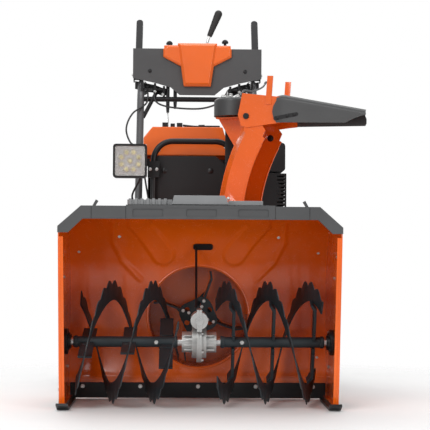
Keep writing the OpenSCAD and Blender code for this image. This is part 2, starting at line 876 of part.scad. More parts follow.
shroud_face = [[-174, 736], [-174, 792], [-146, 827], [76, 827], [84, 800], [134, 792], [134, 736]];
shroud_void = [[-171, 735], [-171, 791], [-144.6, 824], [73.6, 824], [81.6, 797.3], [131, 789.4], [131, 735]];

module engine_shroud() {
  color(orange) difference() {
    plate_xz(shroud_face, 640, 955);
    plate_xz(shroud_void, 643, 952);
  }
}

module fuel_tank() {
  color(black) difference() {
    union() {
      translate([0, 1055, 0]) rotate([90, 0, 0]) linear_extrude(88) round_rect([65, 700], [200, 120], 22);
      translate([90, 1012, 755]) cylinder(h = 12, r = 24, $fn = 64);
    }
    translate([0, 1052, 0]) rotate([90, 0, 0]) linear_extrude(82) round_rect([65, 700], [194, 114], 19);
    translate([90, 1012, 740]) cylinder(h = 60, r = 18, $fn = 64);
  }
}

module fuel_cap() {
  color(black) difference() {
    union() {
      translate([90, 1012, 768]) cylinder(h = 16, r = 30, $fn = 64);
      translate([90, 1012, 750]) cylinder(h = 19, r = 17.5, $fn = 64);
    }
    for (a = [0:30:330]) translate([90, 1012, 0]) rotate([0, 0, a]) translate([31, 0, 770])
      cylinder(h = 30, r = 3, $fn = 24);
  }
}

module muffler() {
  color([0.35, 0.35, 0.36]) {
    along_y(233, 762, 882, 630, 40);
    along_x(176.4, 200, 805, 645, 16);
  }
}

guard_lo = [184, 744, 570];
guard_hi = [288, 900, 688];

module muffler_guard() {
  wall = 2;
  color(black) difference() {
    block(guard_lo, guard_hi);
    block(guard_lo + [-5, wall, wall], guard_hi - [wall, wall, wall]);
    for (z = [580:12:676]) {
      block([258, 730, z], [282, 760, z + 5]);
      block([270, 756, z], [300, 888, z + 5]);
    }
  }
}

module heat_shield() {
  wall = 2.5;
  color(black) difference() {
    translate([0, 900, 0]) rotate([90, 0, 0]) linear_extrude(156) round_rect([232, 741], [104, 94], 12);
    translate([0, 897, 0]) rotate([90, 0, 0]) linear_extrude(150)
      round_rect([232, 741], [104 - 2 * wall, 94 - 2 * wall], 10);
    block([170, 760, 700], [190, 884, 782]);
  }
}

module carburetor_cover() {
  color(black) {
    difference() {
      translate([0, 1012, 0]) rotate([90, 0, 0]) linear_extrude(40) round_rect([-108, 660], [120, 100], 10);
      translate([0, 1009, 0]) rotate([90, 0, 0]) linear_extrude(50) round_rect([-108, 660], [114, 94], 8);
    }
    for (x = [-140, -80]) along_y(x, 1012, 1022, 675, 11);
  }
}

rope_x = 70;
rope_z = crank_z + 30;

module recoil_housing() {
  color(black) difference() {
    union() {
      along_y(0, 930, 958, crank_z, 98);
      along_y(0, 956, 964, crank_z, 60);
    }
    for (a = [0:20:340]) translate([0, 0, crank_z]) rotate([0, a, 0])
      block([68, 940, -3], [90, 970, 3]);
    along_y(rope_x, 900, 1000, rope_z, 6);
  }
}

module recoil_handle() {
  color(black) {
    along_x(rope_x - 23, rope_x + 23, 974, rope_z, 8);
    along_y(rope_x, 959, 974, rope_z, 5);
  }
}

module starter_motor() {
  color([0.2, 0.2, 0.21]) {
    along_y(-158, 700, 800, 500, 27);
    along_y(-158, 690, 700, 500, 20);
    block([-131, 720, 490], [-125.3, 780, 510]);
  }
}

// ---------- handlebar ----------

// Route of one handle tube, from the frame's side to the end of the grip.
tube_route = [[167, 800, 438], [167, 905, 452], [handle_x, 960, 560], [handle_x, 1140, 985],
  [handle_x, 1190, grip_z], [handle_x, 1436, grip_z]];

module handle_tubes() {
  color(dark_grey) both_sides() bar_path(tube_route, handle_r);
  color(black) {
    along_x(-handle_x, handle_x, 1150, 974, 9);
    rod([-190, 1110, 905], [-140, 1170, 1010], 7);
    both_sides() {
      for (x = [handle_x - 8, handle_x + 24]) difference() {
        block([x, 1180, grip_z], [x + 4, 1210, lever_z + 12]);
        block([x - 5, 1170, lever_z + 8], [x + 20, 1182, lever_z + 20]);
      }
      block([handle_x - 8, 1185, grip_z + 8], [handle_x + 28, 1205, grip_z + 12]);
      along_x(handle_x - 8, handle_x + 30, lever_y, lever_z, 5);
    }
    both_sides() block([frame_half + 3.2, 790, 426], [167, 830, 446]);
  }
}

module handle_grips() {
  color(black) both_sides() difference() {
    union() {
      along_y(handle_x, 1296, 1440, grip_z, 18);
      for (y = [1300:12:1420]) along_y(handle_x, y, y + 6, grip_z, 19.5);
    }
    along_y(handle_x, 1200, 1436.2, grip_z, handle_r + 0.05);
  }
}

// Clutch lever on the right-hand side of the view: a bar rising behind the dash.
module clutch_lever() {
  lean = 30;
  color(black) translate([lever_x, lever_y, lever_z]) rotate([-lean, 0, 0]) difference() {
    union() {
      translate([-10, -9, -8]) cube([20, 18, 40]);
      translate([-9, -6, 20]) cube([18, 12, 100]);
      translate([-12, -8, 110]) cube([24, 16, 128]);
      translate([0, 8, 238]) rotate([90, 0, 0]) cylinder(h = 16, r = 12, $fn = 48);
    }
    rotate([0, 90, 0]) cylinder(h = 80, r = 5 + run, center = true, $fn = 48);
  }
}

module auger_lever() {
  clutch_lever();
}

module drive_lever() {
  mirror([1, 0, 0]) clutch_lever();
}

dash_face = [[-228, dash_top], [-228, 1046], [-147, 1029], [-94, 1014], [-62, 987], [62, 987],
  [94, 1014], [147, 1029], [228, 1046], [228, dash_top]];

module dash_panel() {
  t = 3;
  back = 1250;
  color(dark_grey) {
    difference() {
      union() {
        plate_xz(dash_face, dash_y, dash_y + t);
        both_sides() block([dash_half - t, dash_y, 1060], [dash_half, 1176, dash_top]);
        both_sides() block([dash_half - t, 1176, 1100], [dash_half, back, dash_top]);
        block([-dash_half, dash_y, dash_top - t], [dash_half, back, dash_top]);
        for (x = [-118, -82, 82, 118, 2, 46])
          block([x - 1.5, 1182, 1055], [x + 1.5, 1210, dash_top - 1]);
      }
      block([8, 1150, 1140], [52, 1240, 1160]);
      for (x = [-100, 100]) block([x - 12, 1150, 1140], [x + 12, 1240, 1160]);
      both_sides() block([lever_x - 15, 1140, 1140], [lever_x + 14, 1300, 1160]);
      along_x(-130, 130, lever_y, 1070, 4 + run);
    }
  }
}

trim_centre = [[-70, 1170], [-48, 1017], [48, 1017], [70, 1170]];
trim_wings = [[-108, 1163], [-121, 1150], [-121, 1121], [-60, 1090], [60, 1090], [121, 1121],
  [121, 1150], [108, 1163]];

module dash_trim() {
  top = dash_top + 0.3;
  color(orange) {
    plate_xz(trim_centre, 1106, dash_y - 0.3);
    difference() {
      plate_xz(trim_wings, 1114, dash_y - 0.3);
      plate_xz([[-67, 1180], [-47, 1000], [47, 1000], [67, 1180]], 1108, dash_y);
    }
    block([-120, 1120, top], [120, 1146, 1163]);
  }
}

// Short dash lever: pivot pin, stem and a domed knob.
module knob_lever(x, knob_z) {
  color(black) {
    along_x(x - 19.4, x + 19.4, lever_y, 1070, 4);
    along_x(x - 10, x + 10, lever_y, 1070, 9);
    rod([x, lever_y, 1070], [x, lever_y, knob_z - 12], 5);
    translate([x, lever_y, knob_z - 14]) cylinder(h = 6, r = 11, $fn = 48);
    difference() {
      translate([x, lever_y, knob_z - 12]) sphere(r = 12, $fn = 48);
      block([x - 20, lever_y - 20, knob_z - 40], [x + 20, lever_y + 20, knob_z - 12]);
    }
  }
}

module rotation_lever() {
  knob_lever(-100, 1190);
}

module tilt_lever() {
  knob_lever(100, 1196);
}

module speed_lever() {
  base = [20, lever_y, 1070];
  elbow = [36, lever_y, 1190];
  tip = [80, lever_y, 1300];
  lean = atan2(tip[0] - elbow[0], tip[2] - elbow[2]);
  color(silver) {
    along_x(0.6, 47.4, lever_y, 1070, 4);
    along_x(8, 32, lever_y, 1070, 9);
    bar_path([base, elbow, elbow + 0.2 * (tip - elbow)], 5);
  }
  color(black) translate(elbow + 0.16 * (tip - elbow)) rotate([0, lean, 0]) {
    cylinder(h = 88, r1 = 9, r2 = 14, $fn = 48);
    translate([0, 0, 88]) difference() {
      sphere(r = 14, $fn = 48);
      translate([-20, -20, -40]) cube([40, 40, 40]);
    }
  }
}

// ---------- cables and tool ----------

// Routes chosen by hand, each from the dash or the light to its end.
auger_cable = [[178, 1160, 1020], [179, 1110, 950], [180, 1040, 840], [174, 950, 680],
  [150, 930, 540], [140, 945, 436]];
drive_cable = [[-178, 1160, 1020], [-178, 1118, 958], [-226, 1080, 915], [-246, 1040, 860],
  [-232, 1010, 810], [-196, 970, 770], [-172, 930, 650], [-150, 935, 520], [-140, 945, 436]];
rotation_cable = [[-150, 1155, 1020], [-148, 1115, 965], [-100, 1070, 938], [0, 980, 922],
  [60, 840, 922], [88, 680, 932], [88, 560, 930], [86, 500, 905]];
tilt_cable = [[246, 1165, 1040], [226, 1030, 1005], [180, 780, 960], [142, 580, 936],
  [124, 495, 905]];
light_cable = [[-186, 576, 704], [-182, 586, 662], [-208, 632, 608], [-196, 680, 580],
  [-178, 700, 560], [-158, 720, 540]];

module control_cables() {
  color(black) for (route = [auger_cable, drive_cable, rotation_cable, tilt_cable, light_cable])
    swept(spline(route, 3), 3.2);
}

module cleanout_tool() {
  low = 559.4;
  color([0.5, 0.5, 0.52]) {
    plate_xz([[-78, low], [-72, 584], [66, 584], [78, low]], 52, 132);
    block([-200, 84, low], [-77, 106, low + 14]);
    block([77, 84, low], [172, 106, low + 12]);
    for (x = [-196:16:-90]) block([x, 80, low], [x + 8, 110, low + 17]);
  }
}

auger_housing();
housing_trim();
scraper_bar();
skid_shoes();
chassis_bolts();
impeller_housing();
auger_bearings();
gearcase_left();
gearcase_right();
gearcase_brace();
tractor_frame();
belt_cover();
hoop_guard();
light_bracket();
chute_post();
rotator_head();
engine_block();
engine_shroud();
fuel_tank();
muffler();
muffler_guard();
heat_shield();
carburetor_cover();
recoil_housing();
starter_motor();
handle_tubes();
dash_panel();
dash_trim();
handle_grips();
drive_belts();
control_cables();
auger_shaft();
worm_wheel();
auger_left();
auger_right();
shear_bolts();
impeller();
impeller_shaft();
impeller_pulley();
crank_pulley();
drive_disc();
hex_shaft();
friction_wheel();
axle();
wheel_rims();
tyres();
chute();
deflector();
deflector_extension();
deflector_pins();
auger_lever();
drive_lever();
speed_lever();
rotation_lever();
tilt_lever();
headlight();
headlight_lens();
fuel_cap();
recoil_handle();
cleanout_tool();
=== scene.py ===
import json
import math

import bmesh
import bpy
from mathutils import Matrix, Vector

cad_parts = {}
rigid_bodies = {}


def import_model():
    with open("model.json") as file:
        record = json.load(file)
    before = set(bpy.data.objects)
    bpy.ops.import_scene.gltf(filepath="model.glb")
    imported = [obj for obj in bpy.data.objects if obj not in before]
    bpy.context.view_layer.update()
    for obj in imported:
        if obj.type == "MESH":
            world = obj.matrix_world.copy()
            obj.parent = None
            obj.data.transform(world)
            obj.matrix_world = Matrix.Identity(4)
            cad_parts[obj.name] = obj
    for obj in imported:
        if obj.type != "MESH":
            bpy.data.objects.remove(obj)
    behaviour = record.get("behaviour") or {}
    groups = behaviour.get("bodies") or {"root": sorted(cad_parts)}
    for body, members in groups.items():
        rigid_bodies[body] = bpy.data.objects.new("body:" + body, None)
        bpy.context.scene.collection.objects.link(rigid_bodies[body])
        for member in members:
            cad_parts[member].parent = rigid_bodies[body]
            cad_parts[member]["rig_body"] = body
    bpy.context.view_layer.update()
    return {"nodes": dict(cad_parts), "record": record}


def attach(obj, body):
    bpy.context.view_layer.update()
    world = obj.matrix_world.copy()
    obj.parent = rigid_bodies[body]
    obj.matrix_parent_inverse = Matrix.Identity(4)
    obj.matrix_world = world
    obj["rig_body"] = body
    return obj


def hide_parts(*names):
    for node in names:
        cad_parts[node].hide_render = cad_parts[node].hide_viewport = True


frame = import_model()
nodes = frame["nodes"]
body_of_node = {n: o["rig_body"] for n, o in nodes.items()}

# Design sizes shared with the CAD, in metres.
HALF_W = 0.381
SHEET = 0.003
SKIN = SHEET - 0.0002  # drawn a hair inside the CAD's outer face
INNER = HALF_W - SHEET
ROOF_Z = 0.540
LOW_START = -32  # degrees, where the lower arc of the back begins
BACK_Y = 0.392
ROOF_C = (0.152, 0.300)
ROOF_R = 0.240
LOW_C = (0.165, 0.182)
LOW_R = 0.227
FOOT_Z = 0.010
DRUM_Z = 0.240
DRUM_R = 0.150
AUGER_Y, AUGER_Z = 0.190, 0.178
AUGER_R = 0.174
PITCH = 0.230
RIBBON_W = 0.058
TOOTH, TOOTH_DEPTH = 20.0, 0.016  # degrees between teeth, depth of the gaps
CHUTE_X, CHUTE_Y = 0.106, 0.470
CHUTE_TURN = math.radians(25)
WHEEL_X, WHEEL_Y, WHEEL_Z = 0.2675, 0.820, 0.203


# ---------- materials ----------

def link(tree, a, b):
    tree.links.new(a, b)


def feed(tree, node, **inputs):
    """Fills a shader node's inputs: another node's output as a link, anything else as a value."""
    for name, value in inputs.items():
        socket = node.inputs[name.replace("_", " ")]
        if isinstance(value, bpy.types.NodeSocket):
            link(tree, value, socket)
        else:
            socket.default_value = value
    return node


def new_node(tree, kind, **inputs):
    return feed(tree, tree.nodes.new("ShaderNode" + kind), **inputs)


def noise_node(tree, coords, scale, detail, rough=0.55):
    return new_node(tree, "TexNoise", Scale=scale, Detail=detail, Roughness=rough,
                    Vector=coords).outputs["Fac"]


def map_range(tree, value, lo, hi, to_lo, to_hi):
    return new_node(tree, "MapRange", From_Min=lo, From_Max=hi, To_Min=to_lo, To_Max=to_hi,
                    Value=value).outputs["Result"]


def bump_node(tree, height, strength, distance):
    return new_node(tree, "Bump", Strength=strength, Distance=distance,
                    Height=height).outputs["Normal"]


def math_node(tree, kind, a, b):
    n = new_node(tree, "Math")
    n.operation = kind
    link(tree, a, n.inputs[0])
    link(tree, b, n.inputs[1])
    return n.outputs[0]


def mix_color(tree, fac, a, b):
    n = new_node(tree, "Mix")
    n.data_type = "RGBA"
    link(tree, fac, n.inputs["Factor"])
    for socket, v in ((n.inputs[6], a), (n.inputs[7], b)):
        if isinstance(v, tuple):
            socket.default_value = (*v, 1.0)
        else:
            link(tree, v, socket)
    return n.outputs[2]


def edge_mask(tree, radius, low, high):
    """1 on convex and concave edges, 0 on faces."""
    bevel = new_node(tree, "Bevel", Radius=radius)
    bevel.samples = 4
    geometry = new_node(tree, "NewGeometry")
    dot = new_node(tree, "VectorMath")
    dot.operation = "DOT_PRODUCT"
    link(tree, bevel.outputs[0], dot.inputs[0])
    link(tree, geometry.outputs["Normal"], dot.inputs[1])
    return map_range(tree, dot.outputs["Value"], high, low, 0.0, 1.0)


def new_material(name):
    """Empty material with its node tree, its shader and the object's own coordinates."""
    m = bpy.data.materials.new(name)
    m.use_nodes = True
    tree = m.node_tree
    return m, tree, tree.nodes["Principled BSDF"], new_node(tree, "TexCoord").outputs["Object"]


def material(name, color, rough, metal=0.0, grain=1200.0, depth=0.0003, strength=0.15,
             mottle=0.10, wear=None, wear_share=0.5, coat=0.0, dust=0.06, shine=0.5):
    """Procedural finish: clouded colour, grain in bump and roughness, dusty hollows, worn edges."""
    m, tree, shader, coords = new_material(name)
    cloud = noise_node(tree, coords, 6.0, 4.0)
    fine = noise_node(tree, coords, grain, 2.0)
    patch = noise_node(tree, coords, 45.0, 5.0, 0.7)
    dark = tuple(c * (1 - mottle) for c in color)
    light = tuple(min(1.0, c * (1 + mottle)) for c in color)
    col = mix_color(tree, map_range(tree, cloud, 0.3, 0.7, 0.0, 1.0), dark, light)
    pale = tuple(min(1.0, c * 0.8 + 0.12) for c in color)
    col = mix_color(tree, map_range(tree, patch, 0.55, 0.85, 0.0, dust), col, pale)
    if wear:
        edge = edge_mask(tree, 0.0012, 0.80, 0.97)
        share = math_node(tree, "MULTIPLY", edge,
                          map_range(tree, patch, 0.45, 0.62, 0.0, wear_share))
        col = mix_color(tree, share, col, wear)
    spread = 0.08
    rough_map = map_range(tree, math_node(tree, "ADD", patch, fine), 0.6, 1.4,
                          max(0.02, rough - spread), min(1.0, rough + spread))
    feed(tree, shader, Base_Color=col, Roughness=rough_map, Metallic=metal, Coat_Weight=coat,
         Coat_Roughness=0.08, Specular_IOR_Level=shine,
         Normal=bump_node(tree, fine, strength, depth))
    return m


ORANGE = (0.74, 0.112, 0.003)
SOFT_BLACK = (0.009, 0.009, 0.010)
RUBBER_WEAR = (0.05, 0.05, 0.05)
MATS = {
    "housing_paint": material("orange_paint", ORANGE, 0.24, grain=420.0, strength=0.10, mottle=0.07,
                              wear=(0.80, 0.20, 0.05), wear_share=0.7, coat=0.35),
    "shroud_plastic": material("orange_plastic", (0.76, 0.125, 0.006), 0.34, grain=1500.0,
                               mottle=0.06, wear=(0.86, 0.24, 0.08), wear_share=0.6, coat=0.15),
    "trim_plastic": material("trim_plastic", (0.057, 0.058, 0.060), 0.55, grain=1600.0,
                             strength=0.3, mottle=0.12, wear=(0.16, 0.16, 0.165), wear_share=0.6),
    "grey_plastic": material("grey_plastic", (0.038, 0.039, 0.040), 0.42, grain=1500.0,
                             strength=0.25, mottle=0.12, wear=(0.13, 0.13, 0.135), wear_share=0.6),
    "black_paint": material("black_paint", SOFT_BLACK, 0.36, grain=500.0, mottle=0.15,
                            wear=(0.07, 0.07, 0.07), wear_share=0.6, dust=0.03, shine=0.3),
    "black_plastic": material("black_plastic", SOFT_BLACK, 0.5, grain=1500.0, strength=0.3,
                              mottle=0.15, wear=(0.05, 0.05, 0.052), wear_share=0.6, dust=0.03,
                              shine=0.3),
    "auger_steel": material("auger_paint", (0.014, 0.021, 0.025), 0.50, grain=380.0, strength=0.25,
                            mottle=0.22, wear=(0.26, 0.25, 0.24), wear_share=0.8, dust=0.10,
                            shine=0.35),
    "zinc_steel": material("zinc_steel", (0.60, 0.60, 0.59), 0.30, metal=1.0, grain=900.0,
                           wear=(0.80, 0.80, 0.80)),
    "cast_aluminium": material("cast_aluminium", (0.46, 0.46, 0.45), 0.42, metal=0.75, grain=700.0,
                               strength=0.5, depth=0.0006, wear=(0.85, 0.85, 0.84),
                               wear_share=0.6),
    "engine_metal": material("engine_metal", (0.055, 0.055, 0.058), 0.5, metal=0.4, grain=600.0,
                             strength=0.5, depth=0.0006, mottle=0.2, wear=(0.42, 0.41, 0.40),
                             wear_share=0.4),
    "bronze": material("bronze", (0.50, 0.28, 0.08), 0.32, metal=1.0, grain=700.0),
    "tyre_rubber": material("tyre_rubber", (0.014, 0.014, 0.014), 0.78, grain=900.0, strength=0.5,
                            mottle=0.2, wear=RUBBER_WEAR, dust=0.15),
    "grip_rubber": material("grip_rubber", (0.016, 0.016, 0.016), 0.7, strength=0.4, mottle=0.2,
                            wear=RUBBER_WEAR),
    "rim_paint": material("rim_paint", (0.60, 0.60, 0.59), 0.35, grain=500.0, mottle=0.06,
                          wear=(0.35, 0.34, 0.33), coat=0.2),
    "handle_paint": material("handle_paint", (0.075, 0.076, 0.080), 0.33, grain=500.0,
                             mottle=0.12, wear=(0.20, 0.20, 0.20), coat=0.25),
    "tool_plastic": material("tool_plastic", (0.23, 0.235, 0.24), 0.45, grain=1300.0, strength=0.3,
                             wear=(0.34, 0.34, 0.35)),
    "cable_sheath": material("cable_sheath", (0.013, 0.013, 0.014), 0.45, grain=900.0, mottle=0.2,
                             wear=(0.04, 0.04, 0.04)),
    "led": material("led_yellow", (0.78, 0.72, 0.34), 0.35, grain=2500.0, mottle=0.12, coat=0.3),
    "reflector": material("reflector", (0.80, 0.79, 0.78), 0.22, metal=0.85, grain=900.0,
                          mottle=0.05),
}


def lens_material():
    """Clear plastic, faintly smeared and ribbed."""
    m, tree, shader, coords = new_material("clear_lens")
    smear = noise_node(tree, coords, 60.0, 4.0)
    wave = new_node(tree, "TexWave", Scale=32.0, Vector=coords)
    feed(tree, shader, Roughness=map_range(tree, smear, 0.3, 0.7, 0.03, 0.16),
         Base_Color=mix_color(tree, smear, (0.86, 0.85, 0.84), (0.95, 0.95, 0.94)),
         Transmission_Weight=0.92, IOR=1.3,
         Normal=bump_node(tree, wave.outputs["Fac"], 0.35, 0.0005))
    return m


MATS["lens"] = lens_material()

slot_of_node = {s["node"]: s["material_slot"] for s in frame["record"]["subparts"]}


def look_of_node(node):
    return "auger_steel" if node in ("auger_left", "auger_right", "impeller") else slot_of_node[node]


for node_name, obj in nodes.items():
    if not obj.material_slots:
        obj.data.materials.append(MATS[look_of_node(node_name)])
    for s in obj.material_slots:
        s.material = MATS[look_of_node(node_name)]


# ---------- mesh helpers ----------

def scene_object(name, data):
    obj = bpy.data.objects.new(name, data)
    bpy.context.scene.collection.objects.link(obj)
    return obj


def finish_mesh(bm, name, look, body, stands_for=(), smooth=35.0, bevel=0.0, segments=2,
                bevel_angle=40.0):
    """Turns bm into a piece that rides a body and stands for the CAD nodes it replaces."""
    bmesh.ops.recalc_face_normals(bm, faces=bm.faces)
    mesh = bpy.data.meshes.new(name)
    bm.to_mesh(mesh)
    bm.free()
    obj = scene_object(name, mesh)
    mesh.materials.append(MATS[look])
    mesh.shade_smooth()
    mesh.set_sharp_from_angle(angle=math.radians(smooth))
    if bevel:
        mod = obj.modifiers.new("edges", "BEVEL")
        mod.width = bevel
        mod.segments = segments
        mod.limit_method = "ANGLE"
        mod.angle_limit = math.radians(bevel_angle)
        mod.harden_normals = True
        mod.use_clamp_overlap = True
    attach(obj, body)
    if stands_for:
        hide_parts(*stands_for)


def soften(node, width):
    """The CAD node with its flat faces joined up and its edges rounded."""
    bm = bmesh.new()
    bm.from_mesh(nodes[node].data)
    bmesh.ops.remove_doubles(bm, verts=bm.verts, dist=1e-5)
    bmesh.ops.dissolve_limit(bm, angle_limit=math.radians(1.5), verts=bm.verts, edges=bm.edges)
    finish_mesh(bm, node + "_shell", look_of_node(node), body_of_node[node], (node,),
                bevel=width, bevel_angle=38.0)


def polar(r, degrees):
    a = math.radians(degrees)
    return r * math.cos(a), r * math.sin(a)


def bridge(bm, a, b):
    """Faces between two closed rings with the same number of points."""
    n = len(a)
    for k in range(n):
        bm.faces.new((a[k], a[(k + 1) % n], b[(k + 1) % n], b[k]))


def skin(bm, rings):
    """Closed skin over a row of rings, with a face at each end."""
    for a, b in zip(rings, rings[1:]):
        bridge(bm, a, b)
    bm.faces.new(rings[0][::-1])
    bm.faces.new(rings[-1])


def add_box(bm, lo, hi, matrix=None):
    lo, hi = Vector(lo), Vector(hi)
    made = bmesh.ops.create_cube(bm, size=1.0)
    bmesh.ops.scale(bm, vec=hi - lo, verts=made["verts"])
    bmesh.ops.translate(bm, vec=(lo + hi) / 2, verts=made["verts"])
    if matrix:
        bmesh.ops.transform(bm, matrix=matrix, verts=made["verts"])


def add_tube(bm, points, radius, sides=16):
    """Round tube through points, each ring square to the path; radius may be one per point."""
    points = [Vector(p) for p in points]
    rings = []
    normal = None
    for i, p in enumerate(points):
        t = (points[min(i + 1, len(points) - 1)] - points[max(i - 1, 0)]).normalized()
        if normal is None:
            normal = t.orthogonal().normalized()
        normal = (normal - t * normal.dot(t)).normalized()
        side = t.cross(normal)
        r = radius[i] if isinstance(radius, (list, tuple)) else radius
        rings.append([bm.verts.new(p + r * (math.cos(a) * normal + math.sin(a) * side))
                      for a in (2 * math.pi * k / sides for k in range(sides))])
    skin(bm, rings)


def spline(points, steps):
    """Smooth path through the points."""
    pts = [Vector(p) for p in points]
    out = []
    for i in range(len(pts) - 1):
        a, b, c, d = pts[max(i - 1, 0)], pts[i], pts[i + 1], pts[min(i + 2, len(pts) - 1)]
        for j in range(steps):
            t = j / steps
            out.append(0.5 * (2 * b + (c - a) * t + (2 * a - 5 * b + 4 * c - d) * t * t
                              + (3 * b - a - 3 * c + d) * t ** 3))
    return out + [pts[-1]]


def rounded(points, radius, steps):
    """Straight path with its corners turned into arcs."""
    pts = [Vector(p) for p in points]
    out = [pts[0]]
    for a, b, c in zip(pts, pts[1:], pts[2:]):
        u, v = (a - b).normalized(), (c - b).normalized()
        reach = min(radius, (a - b).length * 0.45, (c - b).length * 0.45)
        p, q = b + u * reach, b + v * reach
        out += [p.lerp(b, t).lerp(b.lerp(q, t), t) for t in (k / steps for k in range(steps + 1))]
    return out + [pts[-1]]


def add_lathe(bm, profile, matrix, sides=64):
    """Profile of (radius, height) turned about Z and placed by matrix."""
    rings = []
    for r, h in profile:
        if r < 1e-6:
            rings.append([bm.verts.new(matrix @ Vector((0, 0, h)))])
        else:
            rings.append([bm.verts.new(matrix @ Vector((r * math.cos(a), r * math.sin(a), h)))
                          for a in (2 * math.pi * k / sides for k in range(sides))])
    for a, b in zip(rings, rings[1:]):
        for k in range(sides):
            n = (k + 1) % sides
            if len(a) == 1 and len(b) > 1:
                bm.faces.new((a[0], b[k], b[n]))
            elif len(b) == 1 and len(a) > 1:
                bm.faces.new((a[k], b[0], a[n]))
            elif len(a) > 1:
                bm.faces.new((a[k], a[n], b[n], b[k]))


def add_prism(bm, outline, place, depth0, depth1):
    """Flat outline of (a, b) drawn between two depths; place turns (a, b, depth) into a point."""
    skin(bm, [[bm.verts.new(place(a, b, d)) for a, b in outline] for d in (depth0, depth1)])


def in_xz(a, b, d):
    return Vector((a, d, b))


def in_yz(a, b, d):
    return Vector((d, a, b))


def bolt_head(bm, place, r, h):
    """Flanged hexagon head standing on place's XY plane."""
    add_lathe(bm, [(0, 0), (r, 0), (r, h * 0.22), (r * 0.86, h * 0.38), (0, h * 0.38)], place, 28)
    hexagon = [polar(r * 0.66, 60 * k) for k in range(6)]
    skin(bm, [[bm.verts.new(place @ Vector((x * share, y * share, z))) for x, y in hexagon]
              for share, z in ((1.0, h * 0.3), (1.0, h * 0.9), (0.82, h))])


def face_front(x, y, z):
    """Place whose Z axis points to the front of the machine."""
    return Matrix.Translation((x, y, z)) @ Matrix.Rotation(math.radians(90), 4, "X")


def face_back(x, y, z):
    return Matrix.Translation((x, y, z)) @ Matrix.Rotation(math.radians(-90), 4, "X")


def facing(point, axis):
    """Place at a point whose Z axis points along an axis."""
    return Matrix.Translation(point) @ axis.to_track_quat("Z", "Y").to_matrix().to_4x4()


def face_side(x, y, z, sign):
    """Place whose Z axis points along X, the way of the sign."""
    return Matrix.Translation((x, y, z)) @ Matrix.Rotation(math.radians(90 * sign), 4, "Y")


# ---------- camera, light, floor ----------

def mix_shaders(tree, fac, a, b, output):
    both = new_node(tree, "MixShader")
    for value, socket in zip((fac, a, b), both.inputs):
        link(tree, value, socket)
    link(tree, both.outputs[0], tree.nodes[output].inputs["Surface"])


def fade_out(m, near, far):
    """Lets the floor run out into the white surround away from the machine."""
    tree = m.node_tree
    reach = new_node(tree, "VectorMath")
    reach.operation = "LENGTH"
    link(tree, new_node(tree, "TexCoord").outputs["Object"], reach.inputs[0])
    share = map_range(tree, reach.outputs["Value"], near, far, 0.0, 1.0)
    mix_shaders(tree, share, tree.nodes["Principled BSDF"].outputs[0],
                new_node(tree, "BsdfTransparent").outputs[0], "Material Output")


def camera():
    data = bpy.data.cameras.new("camera")
    data.sensor_width = 36.0
    data.lens = 109.62
    data.clip_end = 60.0
    cam = scene_object("camera", data)
    cam.location = (-0.048, -3.5, 0.429)
    cam.rotation_euler = (math.radians(91.65), math.radians(-0.35), math.radians(-1.42))
    bpy.context.scene.camera = cam


def floor():
    bm = bmesh.new()
    bmesh.ops.create_grid(bm, x_segments=4, y_segments=4, size=14.0)
    mesh = bpy.data.meshes.new("floor")
    bm.to_mesh(mesh)
    bm.free()
    ground = bpy.data.objects.new("floor", mesh)
    ground.location = (0, 0.35, -0.0004)
    pale = material("pale_floor", (0.86, 0.86, 0.86), 0.75, grain=300.0, strength=0.03,
                    mottle=0.01, dust=0.0)
    fade_out(pale, 0.70, 1.45)
    mesh.materials.append(pale)
    bpy.context.scene.collection.objects.link(ground)


def surround():
    """Soft white light from all around, and plain white behind the machine."""
    world = bpy.data.worlds.new("world")
    bpy.context.scene.world = world
    world.use_nodes = True
    tree = world.node_tree
    white = (1.0, 1.0, 1.0, 1.0)
    sky = feed(tree, tree.nodes["Background"], Color=white, Strength=0.55)
    backdrop = new_node(tree, "Background", Color=white, Strength=1.0)
    mix_shaders(tree, new_node(tree, "LightPath").outputs["Is Camera Ray"], sky.outputs[0],
                backdrop.outputs[0], "World Output")


def panel(name, place, aim, size, power):
    data = bpy.data.lights.new(name, "AREA")
    data.shape = "RECTANGLE"
    data.size, data.size_y = size
    data.energy = power
    lamp = scene_object(name, data)
    lamp.location = place
    lamp.rotation_euler = (Vector(aim) - Vector(place)).to_track_quat("-Z", "Y").to_euler()


camera()
floor()
surround()
panel("key", (-1.6, -2.6, 3.0), (0, 0.3, 0.5), (2.2, 1.6), 60)
panel("fill", (2.6, -2.4, 1.6), (0, 0.3, 0.5), (1.2, 2.2), 24)
panel("top", (0.0, 0.9, 3.4), (0, 0.5, 0.6), (2.6, 2.2), 46)
panel("low_left", (-1.7, -2.7, 0.45), (0, 0.3, 0.45), (0.9, 0.9), 20)
panel("low_right", (1.8, -2.6, 0.40), (0, 0.3, 0.45), (0.9, 0.9), 13)
panel("back", (-0.5, 3.6, 2.4), (0, 0.6, 0.7), (2.6, 1.6), 30)
bpy.context.scene.view_settings.view_transform = "Standard"


# ---------- auger housing ----------

def wall_y(z):
    """Depth of the housing's back at a height, inner face."""
    if z > ROOF_C[1]:
        return ROOF_C[0] + math.sqrt(max(0.0, ROOF_R ** 2 - (z - ROOF_C[1]) ** 2))
    if z < LOW_C[1]:
        return LOW_C[0] + math.sqrt(LOW_R ** 2 - (z - LOW_C[1]) ** 2)
    return BACK_Y


def segment_distance(p, a, b):
    ab = (b[0] - a[0], b[1] - a[1])
    t = ((p[0] - a[0]) * ab[0] + (p[1] - a[1]) * ab[1]) / (ab[0] ** 2 + ab[1] ** 2)
    t = min(1.0, max(0.0, t))
    return math.hypot(p[0] - a[0] - t * ab[0], p[1] - a[1] - t * ab[1])


def path_distance(p, path):
    return min(segment_distance(p, a, b) for a, b in zip(path, path[1:]))


def ramp(d, half, edge):
    t = min(1.0, max(0.0, (half + edge - d) / edge))
    return t * t * (3 - 2 * t)


